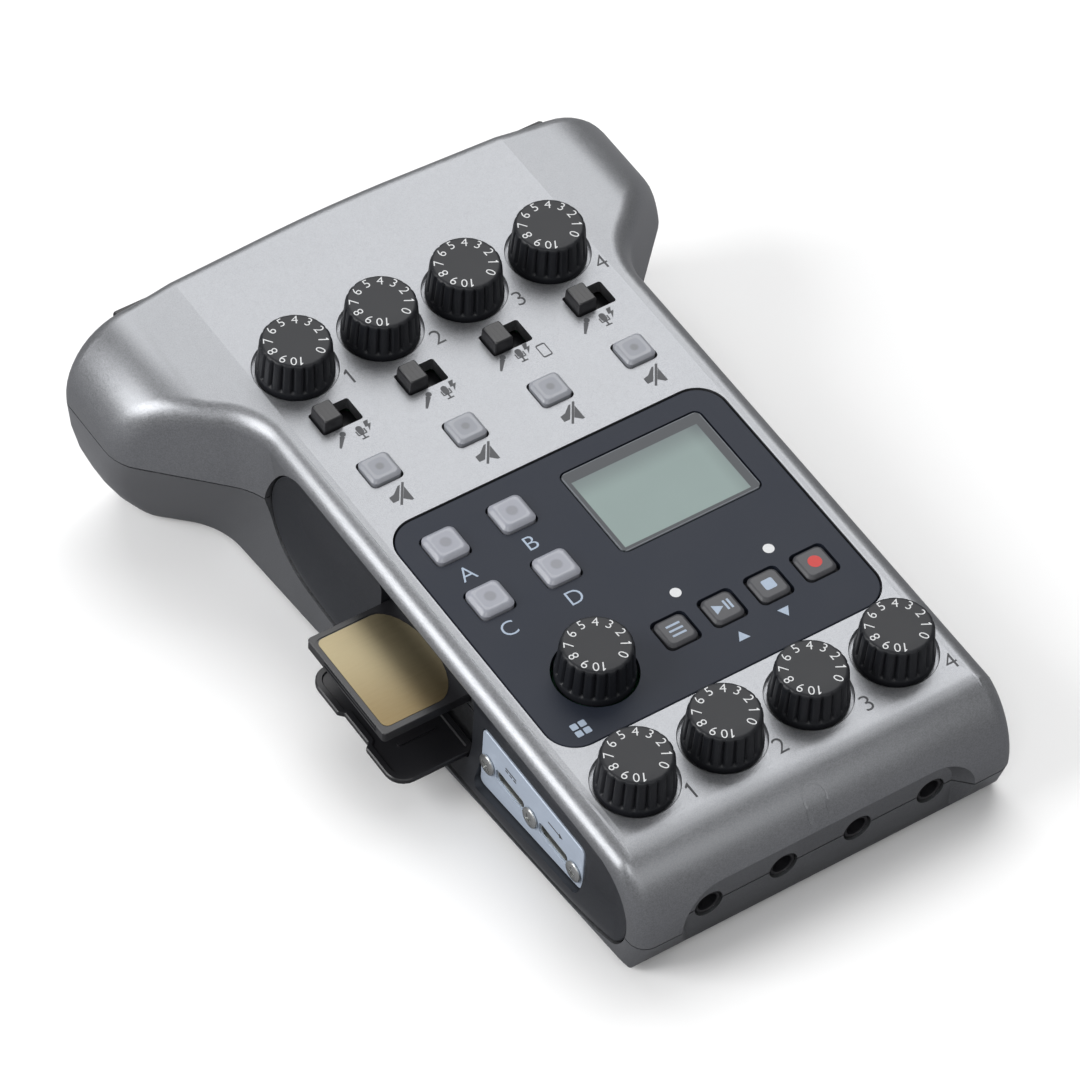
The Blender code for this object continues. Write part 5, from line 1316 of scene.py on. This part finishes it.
worn_by(piece("socket_shells", socket_shells(), steel), "housing", "steel")
supply = gather([bars((0, 0.3, 3.2, 0.3), (-1.2, -0.3, 0.8, 0.3), (0, -0.3, 0.8, 0.3), (1.2, -0.3, 0.8, 0.3))])
worn_by(piece("supply_sign", flat_on_plate(supply, -83.3, -15.0), print_dark), "housing", "plate_metal")
trident = gather([bars((0, 0, 3.4, 0.3)), polygon((1.6, -0.55), (2.6, 0), (1.6, 0.55))])
worn_by(piece("data_sign", flat_on_plate(trident, -96.2, -15.0), print_dark), "housing", "plate_metal")
print("socket shells and signs")

# %% [markdown]
# ## Memory card and door
#
# The card stands half out of its slot, label up. Its plastic shell has a fine step round the label and two ridges
# for the fingernail. The label is a gold film: its colour runs from pale to deep along the
# card, with fine brushing. The door below it is a glossy flap on two hinge knuckles.


# %% Card
gold = Finish("label_gold", (0.3, 0.22, 0.1), 0.35, metallic=0.8)
across, along, _ = gold.place()
sheen = gold.noise(0.5 * MM, 3, (0.15, 1, 1))
sweep = (along + across * 0.4).fade(-10 * MM, 9 * MM)
gold.feed("Base Color", gold.mix(sheen * 0.3 + sweep * 0.7, (0.14, 0.10, 0.045), (0.28, 0.24, 0.15)))
gold.feed("Roughness", sheen * 0.15 + 0.32)
gold.bump(sheen, 0.004 * MM)

CARD_PLACE = (-50.3 * MM, -55.2 * MM, -13.05 * MM)


def card_outline(shrink):
    a, b = 12 * MM - shrink, 32 * MM - shrink
    return filleted([(shrink, -a, 0.7 * MM), (b, -a, 0.7 * MM), (b, a - 4 * MM, 0.3 * MM), (b - 4 * MM, a, 0.3 * MM),
                     (shrink, a, 0.7 * MM)], 5)


def label_outline(shrink):
    """Two round corners at the outer end, and a bulge at the inner end."""
    side, end, corner = 10.7 * MM - shrink, 1.0 * MM + shrink, 1.2 * MM
    rear = arc((end + corner, side - corner), (corner, corner), 90, 180, 5)
    front = arc((end + corner, corner - side), (corner, corner), 180, 270, 5)
    return rear + front + arc((11.8 * MM, 0), (5.2 * MM - shrink, side), -90, 90, 16)


thin, thick = 0.95 * MM, 1.05 * MM
card_shape = stack([(card_outline(0.1 * MM), -thick), (card_outline(0), -thin), (card_outline(0), thin), (card_outline(0.1 * MM), thick)])
card = piece("card_shell", card_shape, black, CARD_PLACE)
frame_cut = prism(label_outline(-0.25 * MM), thick - 0.12 * MM, thick + 1 * MM)
carve(card, ("DIFFERENCE", frame_cut, PANEL @ Matrix.Translation(CARD_PLACE)))
shaded(card, 30)
worn_by(card, "memory_card", "black_plastic", "memory_card")
label = piece("card_label", prism(label_outline(0), thick - 0.2 * MM, thick - 0.04 * MM), gold.material, CARD_PLACE)
worn_by(label, "memory_card", "black_plastic")
contacts = bmesh.new()
for k in range(8):
    place = (28.5 * MM, (k - 3.5) * 2.3 * MM)
    add_prism(contacts, rounded_rectangle(4 * MM, 1.4 * MM, 0.2 * MM, place, 2), -thick - 0.01 * MM, -thick + 0.2 * MM)
ridges = bmesh.new()
for z in (-0.35, 0.45):
    outline = rounded_rectangle(16 * MM, 0.28 * MM, 0.12 * MM, (-1.5 * MM, z * MM), 3)
    add_prism(ridges, outline, -0.12 * MM, 0.3 * MM, "X")
worn_by(piece("card_grip_ridges", ridges, black, CARD_PLACE), "memory_card", "black_plastic")
worn_by(piece("card_contacts", contacts, contact_gold, CARD_PLACE), "memory_card", "black_plastic")
print("card, label and contacts")


# %% Door
DOOR_PLACE = (-34.9 * MM, -57.2 * MM, -22.2 * MM)


def door_outline(shrink):
    half, end = 14 * MM - shrink, -15.1 * MM + shrink
    notch, inset = 4.5 * MM, 0.9 * MM
    return filleted([(0.6 * MM - shrink, -half, 0.2 * MM), (end, -half, 3.5 * MM - shrink), (end, -notch, 0.6 * MM),
                     (end + inset, -notch + inset, 0.4 * MM), (end + inset, notch - inset, 0.4 * MM),
                     (end, notch, 0.6 * MM), (end, half, 3.5 * MM - shrink), (0.6 * MM - shrink, half, 0.2 * MM)], 6)


def door_shape():
    sections = [(door_outline(0.2 * MM), -0.6 * MM), (door_outline(0), -0.4 * MM), (door_outline(0), 0.4 * MM),
                (door_outline(0.2 * MM), 0.6 * MM), (door_outline(1.1 * MM), 0.6 * MM), (door_outline(1.3 * MM), 0.25 * MM)]
    return stack(sections)


def knuckles():
    shape = bmesh.new()
    for y in (-9.5, 9.5):
        add_stack(shape, [(circle(0.62 * MM, 24), (y - 3.2) * MM), (circle(0.62 * MM, 24), (y + 3.2) * MM)], "Y")
    add_prism(shape, circle(0.45 * MM, 20), -14.8 * MM, 14.8 * MM, "Y")
    for y in (-6.5, 6.5):
        add_prism(shape, rounded_rectangle(7.5 * MM, 0.9 * MM, 0.4 * MM, (-6.5 * MM, y * MM), 5), 0.2 * MM, 0.6 * MM)
    return shape


door = piece("door_flap", door_shape(), black, DOOR_PLACE)
worn_by(door, "card_door", "black_plastic", "card_door")
worn_by(piece("door_hinge", knuckles(), black, DOOR_PLACE), "card_door", "black_plastic")
print("door:", len(door.data.polygons), "faces")

# %% [markdown]
# ## Headphone and microphone sockets
#
# Four headphone sockets sit in the scoop under the nose: a glossy collar round a dark bore. Behind, four
# large microphone sockets take round plugs: a ring groove for the plug's shell, three pin holes, and
# a release tab over each one. These pieces are level with the desk.


# %% Headphone sockets
def ring_sections(pairs, steps=40):
    return [(circle(r * MM, steps), y * MM) for r, y in pairs]


jack = piece("headphone_socket_1", stack(ring_sections(
    [(2.45, 2.4), (2.45, 0.45), (2.3, 0.32), (2.05, 0.3), (1.85, 0.45), (1.8, 0.8), (1.8, 11)]), "Y"),
    black, (JACK_XS[0], FRONT_WALL, -PARTING))
worn_by(jack, "housing", "black_plastic", "phone_jack_1")
for number, x in enumerate(JACK_XS[1:], 2):
    item = twin(f"headphone_socket_{number}", jack, (x, FRONT_WALL, -PARTING))
    worn_by(item, "housing", "black_plastic", f"phone_jack_{number}")
print("4 headphone sockets")


# %% Microphone sockets and release tabs
def socket_body():
    rings = [(11.5, -13.5), (11.5, -0.3), (11.35, -0.08), (11.1, 0), (9.6, 0), (9.5, -0.1), (9.5, -11.5), (7.6, -11.5),
             (7.6, -1.3), (7.45, -1.1), (7.2, -1.05), (2, -1.05)]
    return stack(ring_sections(rings, 72), "Y")


def pin_holes(x, face):
    shape = bmesh.new()
    for angle in (90, 210, 330):
        a = math.radians(angle)
        centre = (x + 4.1 * MM * math.cos(a), SOCKET_HEIGHT + 4.1 * MM * math.sin(a))
        add_prism(shape, circle(1.35 * MM, 24, centre), face - 9 * MM, face + 1 * MM, "Y")
    key_way = rounded_rectangle(1.6 * MM, 1.2 * MM, 0.2 * MM, (x, SOCKET_HEIGHT - 7.3 * MM))
    return add_prism(shape, key_way, face - 9 * MM, face + 1 * MM, "Y")


def tab_shape():
    rings = [((7.5, 3.0, 0.5), -9.0), ((7.5, 3.0, 0.5), -0.55), ((7.2, 2.7, 0.5), -0.2), ((6.6, 2.1, 0.5), 0)]
    shape = stack([(rounded_rectangle(w * MM, d * MM, r * MM, steps=5), y * MM) for (w, d, r), y in rings], "Y")
    for k in range(-2, 3):
        add_prism(shape, rounded_rectangle(0.35 * MM, 1.8 * MM, 0.15 * MM, (k * 1.1 * MM, 0), 3), -0.3 * MM, 0, "Y")
    return shape


for number, x in enumerate(SOCKET_XS, 1):
    face = socket_face(x)
    socket = piece(f"microphone_socket_{number}", socket_body(), black, (x, face, SOCKET_HEIGHT), level=True)
    carve(socket, ("DIFFERENCE", pin_holes(x, face), DESK))
    shaded(socket, 35)
    worn_by(socket, "housing", "black_plastic", f"xlr_socket_{number}")
    reach = (75.583 if number in (1, 4) else 76.652) * MM
    tab = piece(f"release_tab_{number}", tab_shape(), black, (x, reach, SOCKET_HEIGHT + 15.6 * MM), level=True)
    worn_by(tab, f"xlr_latch_{number}", "black_plastic", f"xlr_latch_{number}")
print("4 microphone sockets with release tabs")

# %% [markdown]
# ## Underside
#
# The recorder stands on four round rubber feet. A door in the underside swings down to the two cells. It has a
# grip with ridges at its free edge.


# %% Feet, battery door and carried-over pieces
foot_rings = [(4.0, 0), (4.3, 0.06), (4.45, 0.25), (4.5, 0.5), (4.5, 1.3)]
foot = piece("foot_pad_1", stack([(circle(r * MM, 48), z * MM) for r, z in foot_rings]), rubber, (*FEET[0], 0), level=True)
worn_by(foot, "housing", "rubber", "foot_1")
for number, place in enumerate(FEET[1:], 2):
    worn_by(twin(f"foot_pad_{number}", foot, (*place, 0), level=True), "housing", "rubber", f"foot_{number}")


def cover_shape():
    shape = stack([(bay_outline(0.5 * MM), 1 * MM), (bay_outline(GAP), 1.2 * MM), (bay_outline(GAP), 2.6 * MM)])
    return shape


def grip_grooves():
    shape = bmesh.new()
    for k in range(5):
        groove = rounded_rectangle(14 * MM, 0.7 * MM, 0.3 * MM, (0, (42.5 - 1.5 * k) * MM), 4)
        add_prism(shape, groove, 0, 1.35 * MM)
    return shape


cover = piece("battery_door", cover_shape(), silver, level=True)
carve(cover, ("DIFFERENCE", grip_grooves(), DESK))
shaded(cover, 30)
worn_by(cover, "battery_cover", "silver_paint", "battery_cover")


# %% Materials of the CAD pieces that stay
jacket = Finish("cell_jacket", (0.2, 0.21, 0.22), 0.3, metallic=0.5)
along, _, _ = jacket.place()
band = (along - 12 * MM).fade(-0.2 * MM, 0.2 * MM)
scuff = jacket.noise(1.5 * MM, 4)
jacket.feed("Base Color", jacket.mix(band, (0.10, 0.105, 0.115), (0.62, 0.60, 0.56)))
jacket.feed("Roughness", scuff * 0.2 + 0.22)
jacket.bump(scuff, 0.01 * MM)
liquid = grained(Finish("display_module", (0.25, 0.29, 0.28), 0.3), (0.25, 0.29, 0.28), 1 * MM, 0.004 * MM, 0.1, 0.35)
kept = {"battery_1": jacket.material, "battery_2": jacket.material, "lcd_module": liquid,
        "control_board": board, "main_board": board}
for name, finish in kept.items():
    for slot in nodes[name].material_slots:
        slot.material = finish
print("carried over:", ", ".join(kept))

# %% [markdown]
# ## Camera, light and floor
#
# The picture was taken from the front left, from well above and from far away with a long lens. The light is a
# studio's: one large softbox behind and above, which the silver panel mirrors towards the camera, a weaker
# one from the left for the rolled ear, and a little light from the front. The floor is pale and
# large, and only takes a soft shadow.

# %% Camera
camera = bpy.data.objects.new("camera", bpy.data.cameras.new("camera"))
bpy.context.scene.collection.objects.link(camera)
camera.location = (-0.42253, -0.66487, 0.79079)
camera.rotation_mode = "QUATERNION"
camera.rotation_quaternion = (0.881591, 0.374379, -0.100868, -0.26919)
camera.data.lens, camera.data.sensor_width, camera.data.clip_start = 216.418, 36, 0.01
bpy.context.scene.camera = camera


# %% Softboxes, world and floor
def softbox(name, place, size, power, target=(0, 0, 0.03)):
    light = bpy.data.lights.new(name, "AREA")
    light.shape, light.size, light.size_y, light.energy = "RECTANGLE", size[0], size[1], power
    item = bpy.data.objects.new(name, light)
    bpy.context.scene.collection.objects.link(item)
    item.location = place
    item.rotation_euler = (Vector(target) - Vector(place)).to_track_quat("-Z", "Y").to_euler()
    return item


softbox("rear_softbox", (0.50, 0.75, 1.15), (1.5, 1.0), 12)
softbox("overhead_softbox", (0.45, -0.05, 1.30), (1.0, 0.6), 3)
softbox("left_softbox", (-1.10, 0.30, 0.80), (0.8, 0.8), 13)
softbox("front_fill", (0.10, -1.30, 0.80), (1.2, 0.7), 2.8)
softbox("crest_light", (-0.62, -0.78, 1.00), (0.35, 0.35), 2.5)

world = bpy.data.worlds.new("studio")
bpy.context.scene.world = world
world.use_nodes = True
world.node_tree.nodes["Background"].inputs["Color"].default_value = (0.5, 0.5, 0.5, 1)
world.node_tree.nodes["Background"].inputs["Strength"].default_value = 0.6

floor_finish = Finish("floor", (0.8, 0.8, 0.8), 0.85)
seen = Value(floor_finish, floor_finish.add("ShaderNodeLightPath").outputs["Is Camera Ray"])
patches = floor_finish.noise(60 * MM, 2)
paper = floor_finish.mix(patches, (0.91, 0.91, 0.91), (0.93, 0.93, 0.93))
floor_finish.feed("Base Color", floor_finish.mix(seen, (0.26, 0.26, 0.27), paper))
floor = bare("floor", prism([(-2, -2), (2, -2), (2, 2), (-2, 2)], -0.02, 0), DESK)
floor.data.materials.append(floor_finish.material)
bpy.context.scene.view_settings.view_transform = "Standard"
print("camera, 5 softboxes and floor")

# %% Last update of the view layer
bpy.context.view_layer.update()
